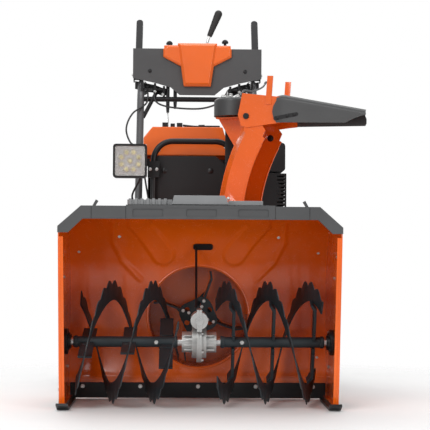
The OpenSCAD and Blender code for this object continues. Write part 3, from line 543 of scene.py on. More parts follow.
# The sloped corners between the roof and the sides.
CORNER_Z = 0.489
CORNER_X = 0.318
CORNER_SLOPE = (INNER - CORNER_X) / (ROOF_Z - CORNER_Z)

# Pressed bands in (distance from the middle, length along the back above the floor).
BAND = [(0.173, 1.10), (0.173, 0.545), (0.105, 0.425)]
BEAD = [(0.247, 0.56), (0.250, 0.47), (0.222, 0.40), (0.172, 0.345)]


def arc_point(centre, r, degrees):
    y, z = polar(r, degrees)
    return centre[0] + y, centre[1] + z


def back_profile():
    """Inner path (y, z) from the foot over the back to the roof's front lip."""
    pts = [(arc_point(LOW_C, LOW_R, LOW_START)[0], FOOT_Z)]
    pts += [arc_point(LOW_C, LOW_R, LOW_START * (1 - k / 16)) for k in range(17)]
    pts += [(BACK_Y, LOW_C[1] + (ROOF_C[1] - LOW_C[1]) * k / 19) for k in range(1, 19)]
    pts += [arc_point(ROOF_C, ROOF_R, 90 * k / 72) for k in range(73)]
    return pts + [(ROOF_C[0] * (1 - k / 12), ROOF_Z) for k in range(1, 13)]


def back_grid(columns):
    """Rows of points over the inner face of the back, with its pressed bands and beads."""
    profile = back_profile()
    length = 0.0
    grid = []
    for i, (y, z) in enumerate(profile):
        before, after = profile[max(i - 1, 0)], profile[min(i + 1, len(profile) - 1)]
        if i:
            length += math.dist(before, (y, z))
        ty, tz = after[0] - before[0], after[1] - before[1]
        scale = math.hypot(ty, tz)
        reach = INNER - max(0.0, z - CORNER_Z) * CORNER_SLOPE
        row = []
        for k in range(columns + 1):
            x = reach * (2 * k / columns - 1)
            p = (abs(x), length)
            lift = max(0.0045 * ramp(path_distance(p, BAND), 0.030, 0.006),
                       0.0030 * ramp(path_distance(p, BEAD), 0.003, 0.007))
            row.append((x, y - tz / scale * lift, z + ty / scale * lift))
        grid.append(row)
    return grid


def outward(v):
    """Way out of the housing at a point of its back."""
    if v.z > ROOF_C[1]:
        return Vector((0, max(v.y - ROOF_C[0], 0.0), v.z - ROOF_C[1])).normalized()
    if v.z < LOW_C[1]:
        return Vector((0, v.y - LOW_C[0], v.z - LOW_C[1])).normalized()
    return Vector((0, 1, 0))


def housing_back():
    """Pressed sheet with the drum's opening cut out and drawn round."""
    bm = bmesh.new()
    columns = 150
    grid = back_grid(columns)
    hole = DRUM_R + 0.0006
    behind = 0.3  # only the back is cut, not the roof in front of it
    inside = [[math.hypot(x, z - DRUM_Z) < hole and y > behind for x, y, z in row] for row in grid]
    verts = {}

    def vert(i, k):
        if (i, k) not in verts:
            verts[i, k] = bm.verts.new(grid[i][k])
        return verts[i, k]

    for i in range(len(grid) - 1):
        for k in range(columns):
            cell = [(i, k), (i, k + 1), (i + 1, k + 1), (i + 1, k)]
            if not any(inside[a][b] for a, b in cell):
                bm.faces.new([vert(a, b) for a, b in cell])
    for (i, k), v in verts.items():
        d = math.hypot(v.co.x, v.co.z - DRUM_Z)
        if v.co.y > behind and d < hole + 0.02 and v.is_boundary and 0 < k < columns and i > 2:
            z = DRUM_Z + (v.co.z - DRUM_Z) * hole / d
            v.co = (v.co.x * hole / d, wall_y(z), z)
    made = bmesh.ops.extrude_face_region(bm, geom=list(bm.faces))
    bm.normal_update()
    for v in made["geom"]:
        if isinstance(v, bmesh.types.BMVert):
            v.co += outward(v.co) * SKIN
    finish_mesh(bm, "housing_back", "housing_paint", "chassis", ("auger_housing",), smooth=50)


# Front edge of the side walls, from the corner down to the foot.
SIDE_EDGE = rounded([(0, 0, 0.470), (0, 0.020, 0.340), (0, 0.048, 0.170), (0, 0.062, 0.080),
                     (0, 0.078, FOOT_Z)], 0.06, 5)


def housing_sides():
    bm = bmesh.new()
    curve = [(arc_point(LOW_C, LOW_R + SKIN, LOW_START)[0], FOOT_Z)]
    curve += [arc_point(LOW_C, LOW_R + SKIN, LOW_START * (1 - k / 8)) for k in range(9)]
    curve += [arc_point(ROOF_C, ROOF_R + SKIN, 5 * k) for k in range(19)]
    curve += [(0.0, ROOF_Z + SKIN)]
    clip = CORNER_Z + 0.004
    outline = [(y, min(z, clip)) for y, z in curve if z < clip + 0.02 or y == 0.0]
    outline += [(p.y, p.z) for p in SIDE_EDGE]
    for s in (-1, 1):
        add_prism(bm, outline, in_yz, s * INNER, s * HALF_W)
    finish_mesh(bm, "housing_sides", "housing_paint", "chassis", (), bevel=0.0008, bevel_angle=50)


def housing_corners():
    """Sloped sheets between the roof and the sides."""
    bm = bmesh.new()
    thick_x, thick_z = 0.0019, 0.0022
    for s in (-1, 1):
        rows = []
        for k in range(13):
            t = k / 12
            x, z = CORNER_X + (INNER - CORNER_X) * t, ROOF_Z + (CORNER_Z - ROOF_Z) * t
            rows.append([bm.verts.new((s * (x + thick_x * out), y, z + thick_z * out))
                         for out, y in ((0, 0.0), (0, wall_y(z)), (1, wall_y(z)), (1, 0.0))])
        skin(bm, rows)
    finish_mesh(bm, "housing_corners", "housing_paint", "chassis")


def housing_hems():
    """Rolled front edges, the flanges beside them and the turned-in feet."""
    bm = bmesh.new()
    roll = 0.0042
    for s in (-1, 1):
        hem = [Vector((s * (HALF_W - roll), p.y + roll, p.z)) for p in SIDE_EDGE[:-1]]
        hem.append(Vector((s * (HALF_W - roll), SIDE_EDGE[-1].y + 0.004, FOOT_Z + 0.0005)))
        add_tube(bm, hem, roll - 0.0001, 12)
        flange = []
        for p in hem:
            wide = 0.0135 + 0.004 * (CORNER_Z - p.z)
            flange.append([bm.verts.new((s * (HALF_W - reach), p.y + depth, p.z))
                           for reach, depth in ((0.003, -0.003), (wide, -0.0015),
                                                (wide, 0.0005), (0.003, 0.001))])
        skin(bm, flange)
        foot_x = s * (HALF_W - 0.008)
        add_box(bm, (foot_x - 0.006, 0.082, FOOT_Z), (foot_x + 0.006, 0.342, FOOT_Z + 0.003))
    add_tube(bm, [(x, 0.0036, ROOF_Z - 0.0006) for x in (-0.316, -0.1, 0.1, 0.316)], 0.0035, 12)
    finish_mesh(bm, "housing_hems", "housing_paint", "chassis")


def drum_lip():
    bm = bmesh.new()
    sides = 96
    ring = []
    for k in range(sides):
        row = []
        for more, back in ((0.0045, -0.0012), (0.0020, -0.0030), (-0.0015, -0.0026),
                           (-0.0028, 0.004)):
            x, z = polar(DRUM_R + more, 360 * k / sides)
            row.append(bm.verts.new((x, wall_y(DRUM_Z + z) + back, DRUM_Z + z)))
        ring.append(row)
    for k in range(sides):
        a, b = ring[k], ring[(k + 1) % sides]
        for j in range(3):
            bm.faces.new((a[j], b[j], b[j + 1], a[j + 1]))
    finish_mesh(bm, "drum_lip", "housing_paint", "chassis", smooth=70)


def housing_rivets():
    bm = bmesh.new()
    for s in (-1, 1):
        for x, z, size in ((0.232, 0.475, 0.0035), (0.352, 0.430, 0.003), (0.345, 0.27, 0.003),
                           (0.168, 0.497, 0.003), (0.352, 0.12, 0.003)):
            bolt_head(bm, face_front(s * x, wall_y(z) + 0.001, z), size * 1.5, 0.004)
        for y, z in ((0.16, 0.36), (0.30, 0.20), (0.30, 0.10), (0.10, 0.42)):
            bolt_head(bm, face_side(s * INNER, y, z, -s), 0.006, 0.004)
    finish_mesh(bm, "housing_rivets", "zinc_steel", "chassis")


housing_back()
housing_sides()
housing_corners()
housing_hems()
drum_lip()
housing_rivets()


# ---------- augers ----------

def auger_ribbons(name, node, x0, x1, tops, side):
    """Toothed ribbons about the shaft, one for each x in tops, where it passes over the shaft."""
    bm = bmesh.new()
    half_t = 0.0021
    count = int(abs(x1 - x0) / PITCH * 360 / 1.6)
    for top in tops:
        rows = []
        for i in range(count + 1):
            x = x0 + (x1 - x0) * i / count
            turn = 360 * (x - top) / PITCH
            phase = (turn / TOOTH) % 1.0
            r = AUGER_R - TOOTH_DEPTH * (abs(2 * phase - 1) ** 1.5)
            web = AUGER_R - RIBBON_W + 0.004 * math.sin(math.radians(turn * 3))
            c, s = polar(1.0, 90 + side * turn)
            rows.append([bm.verts.new((x + dx, AUGER_Y - q * c, AUGER_Z + q * s))
                         for dx, q in ((-half_t, web), (-half_t, r - 0.004), (-half_t * 0.5, r),
                                       (half_t * 0.5, r), (half_t, r - 0.004), (half_t, web))])
        skin(bm, rows)
    finish_mesh(bm, name + "_ribbons", "auger_steel", "auger", (node,), smooth=40)


def auger_tube(name, side):
    bm = bmesh.new()
    left, right = sorted((side * -0.060, side * -0.352))
    length = right - left
    add_lathe(bm, [(0.0112, 0), (0.0150, 0), (0.0150, length), (0.0112, length)],
              face_side(left, AUGER_Y, AUGER_Z, 1), 48)
    for x in (side * -0.066, side * -0.345):
        add_lathe(bm, [(0.0148, 0), (0.0172, 0.0015), (0.0172, 0.0085), (0.0148, 0.010)],
                  face_side(x - 0.005, AUGER_Y, AUGER_Z, 1), 48)
    finish_mesh(bm, name + "_tube", "auger_steel", "auger")


def auger_straps(name, side):
    """Bent bars from the tube to the ribbons: flat to the front on one auger, on edge on the other."""
    bm = bmesh.new()
    foot, reach = 0.0140, AUGER_R - RIBBON_W + 0.006
    if side > 0:
        strap_x, top, half_x, half_y = (-0.312, -0.196, -0.092), -0.245, 0.019, 0.003
        thick, wide, bend, low_bend, high_bend = half_y, half_x, 0.0036, reach * 0.55, reach * 0.55
    else:
        strap_x, top, half_x, half_y = (0.096, 0.208, 0.322), 0.192, 0.004, 0.017
        thick, wide, bend, low_bend, high_bend = half_x, half_y, 0.011, reach - 0.020, reach - 0.014
    outline = [(foot, -thick), (low_bend, -thick), (reach, -thick - bend), (reach, thick - bend),
               (high_bend, thick), (foot, thick)]
    for x in strap_x:
        turn = math.radians(-side * 360 * (x - top) / PITCH)
        place = Matrix.Translation((x, AUGER_Y, AUGER_Z)) @ Matrix.Rotation(turn, 4, "X")
        for s in (-1, 1):
            def along_strap(a, b, d):
                return place @ Vector((d, b, s * a) if side > 0 else (b, d, s * a))

            add_prism(bm, outline, along_strap, -wide, wide)
            add_box(bm, (-half_x * 0.8, -half_y * 1.6, s * 0.030 - 0.004),
                    (half_x * 0.8, half_y * 1.6, s * 0.030 + 0.004), place)
    finish_mesh(bm, name + "_straps", "auger_steel", "auger", bevel=0.001)


for auger, auger_node, start, end, over, hand in (
        ("auger_l", "auger_left", -0.338, -0.058, (-0.245, -0.130), 1),
        ("auger_r", "auger_right", 0.050, 0.336, (0.192, 0.077), -1)):
    auger_ribbons(auger, auger_node, start, end, over, hand)
    auger_tube(auger, hand)
    auger_straps(auger, hand)

# CAD nodes that keep their shape, with the width of their rounded edges.
SOFT = {
    "housing_trim": 0.0015, "scraper_bar": 0.001, "skid_shoes": 0.0015, "auger_bearings": 0.0015,
    "gearcase_left": 0.0022, "gearcase_right": 0.0022, "gearcase_brace": 0.001, "belt_cover": 0.003,
    "light_bracket": 0.001, "chute_post": 0.001, "rotator_head": 0.0015, "engine_block": 0.0015,
    "engine_shroud": 0.004, "fuel_tank": 0.003, "muffler": 0.003, "muffler_guard": 0.0008,
    "heat_shield": 0.002, "carburetor_cover": 0.002, "recoil_housing": 0.002, "starter_motor": 0.002,
    "impeller_housing": 0.0008, "tractor_frame": 0.0008, "dash_panel": 0.0012,
    "auger_lever": 0.004, "drive_lever": 0.004, "cleanout_tool": 0.002, "headlight": 0.0012,
    "rotation_lever": 0.0006, "tilt_lever": 0.0006, "wheel_rims": 0.0012, "hex_shaft": 0.0008,
    "deflector": 0.0007, "deflector_pins": 0.0008, "chute": 0.0006, "recoil_handle": 0.0015,
    "fuel_cap": 0.0015, "shear_bolts": 0.0005,
}
for soft_name, soft_width in SOFT.items():
    soften(soft_name, soft_width)


# ---------- impeller ----------

BLADE_START = 20  # degrees


def impeller_blades():
    """Four folded blades with gussets on a tube."""
    bm = bmesh.new()
    add_lathe(bm, [(0.0100, 0), (0.0200, 0), (0.0200, 0.118), (0.0100, 0.118)],
              face_back(0, 0.402, DRUM_Z), 40)
    blade = [(0.014, -0.0025), (0.118, -0.0025), (0.139, 0.0085), (0.137, 0.0125),
             (0.117, 0.0025), (0.014, 0.0025)]
    gusset = [(0.020, 0.004), (0.075, 0.004), (0.020, 0.030)]
    for k in range(4):
        turn = Matrix.Translation((0, 0, DRUM_Z)) @ Matrix.Rotation(
            math.radians(BLADE_START + 90 * k), 4, "Y")
        for outline, front, back in ((blade, 0.405, 0.518), (gusset, 0.512, 0.516)):
            add_prism(bm, outline, lambda u, v, d: turn @ Vector((u, d, v)), front, back)
    finish_mesh(bm, "impeller_blades", "auger_steel", "impeller", ("impeller",), bevel=0.0006)


def impeller_plate():
    """Four-lobed plate in front of the blades, with a ring of six holes."""
    bm = bmesh.new()
    hole_r, place_r = 0.0075, 0.0385
    outlines = [[polar(0.0545 + 0.0045 * math.cos(math.radians(4 * (3 * k + BLADE_START))), 3 * k)
                 for k in range(120)]]
    for h in range(6):
        cx, cz = polar(place_r, 30 + 60 * h)
        outlines.append([(cx + x, cz + z) for x, z in (polar(hole_r, 15 * k) for k in range(24))])
    faces = []
    for y in (0.3995, 0.4045):
        loops = [[bm.verts.new((x, y, DRUM_Z + z)) for x, z in outline] for outline in outlines]
        edges = [bm.edges.new((a, b)) for loop in loops for a, b in zip(loop, loop[1:] + loop[:1])]
        bmesh.ops.triangle_fill(bm, use_beauty=True, use_dissolve=False, edges=edges)
        faces.append(loops)
    for a, b in zip(*faces):
        bridge(bm, a, b)
    finish_mesh(bm, "impeller_plate", "auger_steel", "impeller", bevel=0.0005)


def impeller_bolts():
    bm = bmesh.new()
    for k in range(4):
        for r in (0.030, 0.048):
            x, z = polar(r, BLADE_START + 90 * k)
            bolt_head(bm, face_front(x, 0.3994, DRUM_Z - z), 0.0050, 0.004)
    finish_mesh(bm, "impeller_bolts", "zinc_steel", "impeller")


impeller_blades()
impeller_plate()
impeller_bolts()


# ---------- bolts ----------

def chassis_bolts():
    silver, dark = bmesh.new(), bmesh.new()
    for x in (-0.337, -0.169, 0.0, 0.169, 0.337):
        bolt_head(silver, face_front(x, 0.3504, 0.037), 0.0062, 0.005)
    for x in (-0.106, 0.038):
        bolt_head(dark, face_front(x, 0.5918, 0.685), 0.009, 0.005)
    for x in (-0.168, 0.170):
        bolt_head(dark, face_front(x, 1.1298, 1.072), 0.007, 0.004)
    for s in (-1, 1):
        for y in (0.165, 0.265):
            bolt_head(silver, face_side(s * 0.3868, y, 0.048, s), 0.009, 0.005)
        for k in range(4):
            y, z = polar(0.028, 45 + 90 * k)
            bolt_head(dark, face_side(s * 0.3668, AUGER_Y + y, AUGER_Z + z, -s), 0.005, 0.004)
        for y in (0.700, 0.960):
            bolt_head(silver, face_side(s * 0.1532, y, 0.400, s), 0.009, 0.006)
    for degrees in (150, 210, 270, 330, 30):
        y, z = polar(0.051, degrees)
        bolt_head(silver, face_side(0.0072, AUGER_Y + y, AUGER_Z + z, 1), 0.0045, 0.006)
    finish_mesh(silver, "bolts_zinc", "zinc_steel", "chassis", ("chassis_bolts",))
    finish_mesh(dark, "bolts_black", "black_paint", "chassis")


chassis_bolts()


# ---------- chute and deflector ----------

ARC_C = (0.5374, 0.512)
ARC_R = 0.570
CHUTE_HALF = 0.0715


def chute_place(u, z, w):
    c, s = math.cos(CHUTE_TURN), math.sin(CHUTE_TURN)
    return Vector((CHUTE_X + u * c - w * s, CHUTE_Y - u * s - w * c, z))


def chute_matrix(u, z, w, side):
    """Z axis out of the chute's side wall."""
    axis = (chute_place(u, z, w + 1) - chute_place(u, z, w)) * side
    return facing(chute_place(u, z, w), axis)


def chute_arc(r, start, end, steps, w):
    """Points along the chute's bend at a radius and a distance from its middle plane."""
    arc = [polar(r, start + (end - start) * k / steps) for k in range(steps + 1)]
    return [chute_place(ARC_C[0] - u, ARC_C[1] + z, w) for u, z in arc]


def chute_details():
    bm = bmesh.new()
    for s in (-1, 1):
        add_tube(bm, chute_arc(ARC_R - 0.088, 5.9, 29.5, 24, s * (CHUTE_HALF - 0.0012)), 0.0026, 10)
    for s in (-1, 1):
        add_tube(bm, chute_arc(ARC_R - 0.0006, 7, 31, 20, s * 0.0452), 0.0014, 8)
    finish_mesh(bm, "chute_rims", "housing_paint", "chute")
    bm = bmesh.new()
    bolt_head(bm, chute_matrix(0.092, 0.780, -0.0695, 1), 0.010, 0.006)
    bolt_head(bm, chute_matrix(0.092, 0.780, -CHUTE_HALF, -1), 0.008, 0.0018)
    finish_mesh(bm, "chute_bolt_black", "black_paint", "chute")
    bm = bmesh.new()
    bolt_head(bm, chute_matrix(0.0126, 0.590, CHUTE_HALF - 0.0003, 1), 0.006, 0.004)
    for k in range(6):
        x, y = polar(0.0745, 20 + 60 * k)
        bolt_head(bm, Matrix.Translation((CHUTE_X + x, CHUTE_Y + y, 0.5728)), 0.005, 0.0035)
    finish_mesh(bm, "chute_bolts", "zinc_steel", "chute")


chute_details()

# The hood along the chute's u axis; its near side is longer at the top than at the bottom.
EXT_U0, EXT_U1, EXT_BEND = 0.1665, 0.4018, 0.185
EXT_SIDE, EXT_TIP = 0.0769, 0.0558
EXT_NEAR_U1, EXT_NEAR_LOW_U1 = 0.4320, 0.3720


def hood_section(share, offset):
    """One section of the hood, from the far lower edge over the top to the near one."""
    path = []
    far_side = [(-1, k / 4) for k in range(5)]
    top_side = [(0, k) for k in range(10)]
    near_side = [(1, 1 - k / 4) for k in range(5)]
    for side, k in far_side + top_side + near_side:
        rise = k if side else 1.0
        start = EXT_U0
        if side > 0:
            start = EXT_U0 - 0.013 * (1 - (2 * rise - 1) ** 2)
            stop = EXT_NEAR_U1 - (EXT_NEAR_U1 - EXT_NEAR_LOW_U1) * (1 - rise)
        elif side < 0:
            stop = EXT_U1 - 0.004 * (2 * rise - 1) ** 8
        elif k < 5:
            stop = EXT_U1 + (EXT_NEAR_U1 - EXT_U1) * 0.03 * k - 0.004
        else:
            stop = EXT_U1 + (EXT_NEAR_U1 - EXT_U1) * (1 - 0.03 * (9 - k))
        u = start + (stop - start) * share
        run = max(0.0, (u - EXT_BEND) / (EXT_U1 - EXT_BEND))
        half = EXT_SIDE + (EXT_TIP - EXT_SIDE) * run - offset
        step_up = 0.0020 * min(1.0, max(0.0, u - EXT_U0) / 0.0135)
        top = 0.8926 + step_up - (0.8946 - 0.8498) * run - offset
        low = 0.8122 - 0.0060 * run
        radius = 0.015 - offset
        if side:
            path.append((u, side * half, low + (top - radius - low) * rise))
        else:
            ridge = 1 if k > 4 else -1
            w, z = (0.0, radius) if k in (4, 5) else polar(radius, 170 - 160 * k / 9)
            path.append((u, ridge * (half - radius) + w, top - radius + z))
    return path


def extension_shell():
    """Flared plastic hood: rounded along its top, its near side cut back at an angle."""
    bm = bmesh.new()
    count, thick = 40, 0.0026
    rows = []
    for i in range(count + 1):
        ring = hood_section(i / count, 0.0) + hood_section(i / count, thick)[::-1]
        rows.append([bm.verts.new(chute_place(u, z, w)) for u, w, z in ring])
    for a, b in zip(rows, rows[1:]):
        bridge(bm, a, b)
    n = len(rows[0])
    for row in (rows[0], rows[-1]):
        for k in range(n // 2 - 1):
            bm.faces.new((row[k], row[k + 1], row[n - 2 - k], row[n - 1 - k]))
    finish_mesh(bm, "extension_shell", "grey_plastic", "deflector", ("deflector_extension",),
                smooth=32)


def extension_slot_shade_and_bolts():
    """Long slot on each side of the hood, filled with a black plate as painted shade of the opening,
    with three real bolts.
    """
    bm = bmesh.new()
    along = (chute_place(1, 0, 0) - chute_place(0, 0, 0)).normalized()
    across = (chute_place(0, 0, 1) - chute_place(0, 0, 0)).normalized()
    rise = Vector((0, 0, 1))
    taper = 0.097
    outline = []
    for cx, start in ((0.032, -90), (-0.032, 90)):
        ends = [polar(0.0060, start + 180 * k / 8) for k in range(9)]
        outline += [(cx + a, b) for a, b in ends]
    for s in (-1, 1):
        out = (across * s + along * taper).normalized()
        slope = (along - across * s * taper + rise * 0.16).normalized()
        centre = chute_place(0.196, 0.830, s * (EXT_SIDE - 0.0010))
        # The black slot plate is painted shade: it stands for the dark opening of the slot, not for a
        # part.
        add_prism(bm, outline, lambda a, b, d: centre + slope * a + rise * b + out * d,
                  -0.002, 0.0006)
        for shift in (-0.026, 0.004, 0.026):
            bolt_head(bm, facing(centre + slope * shift, out), 0.0055, 0.0030)
    finish_mesh(bm, "extension_slot_shade_and_bolts", "black_plastic", "deflector")


extension_shell()
extension_slot_shade_and_bolts()


# ---------- rotator head hardware ----------

def head_hardware():
    bm = bmesh.new()
    for x, y, r, h in ((-0.034, -0.018, 0.008, 0.008), (-0.012, -0.030, 0.007, 0.010),
                       (0.010, -0.026, 0.008, 0.008), (-0.026, 0.014, 0.006, 0.009)):
        bolt_head(bm, Matrix.Translation((CHUTE_X + x, CHUTE_Y + y, 0.8998)), r, h)
    add_prism(bm, [(-0.040, 0.8995), (-0.040, 0.9020), (-0.022, 0.9020), (-0.022, 0.9150),
                   (-0.019, 0.9150), (-0.019, 0.9020), (0.016, 0.9020), (0.016, 0.8995)],
              lambda a, b, d: Vector((CHUTE_X + a, CHUTE_Y + d, b)), -0.012, 0.004)
    finish_mesh(bm, "head_hardware", "zinc_steel", "chassis", bevel=0.0005)
    bm = bmesh.new()
    for x, y in ((-0.020, 0.030), (0.018, 0.025)):
        add_lathe(bm, [(0, 0), (0.006, 0), (0.006, 0.004), (0.0045, 0.006), (0.0045, 0.011),
                       (0, 0.012)],
                  Matrix.Translation((CHUTE_X + x, CHUTE_Y + y, 0.8998)), 20)
    finish_mesh(bm, "head_cable_stops", "black_plastic", "chassis")


head_hardware()


# ---------- headlight ----------

LIGHT = Vector((-0.211, 0.506, 0.709))


def headlight_optics():
    bm = bmesh.new()
    spots = [(0.0, 0.0)] + [polar(0.0285, 22.5 + 45 * k) for k in range(8)]
    half = 0.0455
    add_box(bm, (LIGHT.x - half, LIGHT.y + 0.0088, LIGHT.z - half),
            (LIGHT.x + half, LIGHT.y + 0.0098, LIGHT.z + half))
    for k in range(15):
        x = LIGHT.x - 0.042 + 0.006 * k
        add_box(bm, (x - 0.0010, LIGHT.y + 0.0078, LIGHT.z - half + 0.002),
                (x + 0.0010, LIGHT.y + 0.0090, LIGHT.z + half - 0.002))
    for a, b in spots:
        place = face_front(LIGHT.x + a, LIGHT.y + 0.0088, LIGHT.z + b)
        add_lathe(bm, [(0.0100, 0), (0.0100, 0.0030), (0.0092, 0.0036), (0.0074, 0.0012),
                       (0, 0.0010)], place, 32)
    finish_mesh(bm, "light_reflector", "reflector", "headlight")
    bm = bmesh.new()
    for a, b in spots:
        place = face_front(LIGHT.x + a, LIGHT.y + 0.0080, LIGHT.z + b)
        add_lathe(bm, [(0.0062, 0), (0.0058, 0.0012), (0.0030, 0.0024), (0, 0.0027)], place, 28)
    finish_mesh(bm, "light_leds", "led", "headlight")
    bm = bmesh.new()
    add_box(bm, (LIGHT.x - half, LIGHT.y + 0.0030, LIGHT.z - half),
            (LIGHT.x + half, LIGHT.y + 0.0042, LIGHT.z + half))
    finish_mesh(bm, "light_cover", "lens", "headlight", ("headlight_lens",), bevel=0.0005)
    bm = bmesh.new()
    for s in (-1, 1):
        for t in (-1, 1):
            bolt_head(bm, face_front(LIGHT.x + s * 0.0487, LIGHT.y + 0.0002, LIGHT.z + t * 0.0487),
                      0.0022, 0.0001)
    finish_mesh(bm, "light_screws", "zinc_steel", "headlight")
    bm = bmesh.new()
    bolt_head(bm, face_side(-0.1950, 0.554, 0.709, 1), 0.008, 0.005)
    bolt_head(bm, face_side(-0.2310, 0.554, 0.709, -1), 0.008, 0.005)
    bolt_head(bm, face_front(-0.150, 0.5642, 0.687), 0.005, 0.004)
    bolt_head(bm, face_front(-0.130, 0.5642, 0.687), 0.005, 0.004)
    finish_mesh(bm, "light_bracket_bolts", "zinc_steel", "chassis")


headlight_optics()


# ---------- cables ----------

ROUTES = {
    "auger_cable": [(178, 1160, 1020), (179, 1110, 950), (180, 1040, 840), (174, 950, 680),
                    (150, 930, 540), (140, 945, 436)],
    "drive_cable": [(-178, 1160, 1020), (-178, 1118, 958), (-226, 1080, 915), (-246, 1040, 860),
                    (-232, 1010, 810), (-196, 970, 770), (-172, 930, 650), (-150, 935, 520),
                    (-140, 945, 436)],
    "rotation_cable": [(-150, 1155, 1020), (-148, 1115, 965), (-100, 1070, 938), (0, 980, 922),
                       (60, 840, 922), (88, 680, 932), (88, 560, 930), (86, 500, 905)],
    "tilt_cable": [(246, 1165, 1040), (226, 1030, 1005), (180, 780, 960), (142, 580, 936),
                   (124, 495, 905)],
    "light_cable": [(-186, 576, 704), (-182, 586, 662), (-208, 632, 608), (-196, 680, 580),
                    (-178, 700, 560), (-158, 720, 540)],
}


def millimetres(points):
    return [(x / 1000, y / 1000, z / 1000) for x, y, z in points]


def cables():
    for name, route in ROUTES.items():
        bm = bmesh.new()
        line = spline(millimetres(route), 9)
        add_tube(bm, line, 0.0031, 12)
        for end in (line[:4], line[-4:]):
            add_tube(bm, end, 0.0044, 12)
        stands_for = ("control_cables",) if name == "auger_cable" else ()
        finish_mesh(bm, name, "cable_sheath", "chassis", stands_for, smooth=50)


cables()


# ---------- handlebar ----------

HANDLE_X, HANDLE_Z = 0.200, 1.040
PIVOT_Y, PIVOT_Z = 1.195, 1.066


def span(s, a, b):
    """The two ends of a stretch on side s, the lower one first."""
    return sorted((s * a, s * b))


def handle_tubes():
    route = [(167, 800, 438), (167, 905, 452), (200, 960, 560), (200, 1140, 985),
             (200, 1190, 1040), (200, 1436, 1040)]
    bm = bmesh.new()
    for s in (-1, 1):
        add_tube(bm, rounded([(s * x, y, z) for x, y, z in millimetres(route)], 0.055, 8),
                 0.0127, 24)
    finish_mesh(bm, "handle_tube_pair", "handle_paint", "chassis", ("handle_tubes",), smooth=50)


def handle_brackets():
    """Cross tubes, lever pivots, feet, hangers and aprons under the dash, and cable ends."""
    bm = bmesh.new()
    add_tube(bm, [(-HANDLE_X, 1.150, 0.974), (HANDLE_X, 1.150, 0.974)], 0.009, 20)
    add_tube(bm, [(-0.190, 1.110, 0.905), (-0.140, 1.170, 1.010)], 0.007, 16)
    cheek = [(1.180, 1.040), (1.210, 1.040), (1.210, 1.070), (1.202, 1.078), (1.184, 1.078),
             (1.180, 1.072)]
    apron = [(0.222, 1.042), (0.150, 1.028), (0.108, 1.012), (0.098, 0.992), (0.128, 0.990),
             (0.150, 1.000), (0.186, 1.004), (0.222, 1.014)]
    for s in (-1, 1):
        for x in (0.192, 0.224):
            add_prism(bm, cheek, in_yz, *span(s, x, x + 0.004))
        left, right = span(s, 0.192, 0.228)
        add_box(bm, (left, 1.185, 1.048), (right, 1.205, 1.052))
        add_tube(bm, [(x, PIVOT_Y, PIVOT_Z) for x in span(s, 0.191, 0.230)], 0.005, 16)
        left, right = span(s, 0.1532, 0.167)
        add_box(bm, (left, 0.790, 0.426), (right, 0.830, 0.446))
        for x, z0, z1 in ((0.196, 0.985, 1.045), (0.150, 0.985, 1.030), (0.118, 0.978, 1.020)):
            add_box(bm, (s * x - 0.004, 1.140, z0), (s * x + 0.004, 1.172, z1))
        left, right = span(s, 0.110, HANDLE_X)
        add_box(bm, (left, 1.146, 1.006), (right, 1.170, 1.012))
        add_prism(bm, [(s * x, z) for x, z in apron], in_xz, 1.178, 1.181)
    for x, z0 in ((-0.104, 0.925), (-0.078, 0.940)):
        add_tube(bm, [(x, 1.150, 1.030), (x, 1.150, z0 + 0.02), (x, 1.150, z0)],
                 [0.0065, 0.0065, 0.0045], 14)
    finish_mesh(bm, "handle_brackets", "black_paint", "chassis", bevel=0.0008)


def handle_fasteners():
    """Bolts under the dash, and the bare wire from there to the engine."""
    bm = bmesh.new()
    add_tube(bm, [(-0.104, 1.150, 0.930), (-0.102, 1.095, 0.900), (-0.100, 0.948, 0.829)],
             0.0022, 10)
    for x, z in ((0.150, 1.000), (-0.150, 1.000), (0.122, 0.990), (-0.122, 0.990), (0.176, 0.994)):
        bolt_head(bm, face_front(x, 1.1402, z), 0.0055, 0.005)
    for s in (-1, 1):
        bolt_head(bm, face_side(s * 0.2300, PIVOT_Y, PIVOT_Z, s), 0.007, 0.0045)
    finish_mesh(bm, "handle_fasteners", "zinc_steel", "chassis")


def grips():
    """Rubber sleeves with eleven grooves."""
    profile = [(0.0128, 0), (0.0180, 0.001), (0.0194, 0.004)]
    for k in range(11):
        y = 0.008 + 0.0118 * k
        profile += [(0.0194, y), (0.0194, y + 0.004), (0.0178, y + 0.006), (0.0178, y + 0.0095)]
    profile += [(0.0190, 0.138), (0.0182, 0.1425), (0.0140, 0.144), (0, 0.144)]
    bm = bmesh.new()
    for s in (-1, 1):
        add_lathe(bm, profile, face_back(s * HANDLE_X, 1.296, HANDLE_Z), 40)
    finish_mesh(bm, "grip_pair", "grip_rubber", "chassis", ("handle_grips",), smooth=50)


handle_tubes()
handle_brackets()
handle_fasteners()
grips()


# ---------- dash ----------

def inset_outline(points, distance):
    """Outline moved inwards by a distance; the points run anticlockwise."""
    out = []
    n = len(points)
    for i, p in enumerate(points):
        a, b = Vector(points[i - 1]), Vector(points[(i + 1) % n])
        p = Vector(p)
        d0, d1 = (p - a).normalized(), (b - p).normalized()
        n0, n1 = Vector((-d0.y, d0.x)), Vector((-d1.y, d1.x))
        mid = (n0 + n1).normalized()
        out.append(p + mid * distance / max(0.35, mid.dot(n0)))
    return [(q.x, q.y) for q in out]


DASH_FRONT = 1.1296


def raised_plate(bm, outline, shoulder, front, inset):
    """Plate on the dash with a sloped border, its face towards the front of the machine."""
    inner = inset_outline(outline, inset)
    skin(bm, [[bm.verts.new((x, y, z)) for x, z in points]
              for points, y in ((outline, DASH_FRONT), (outline, shoulder), (inner, front))])


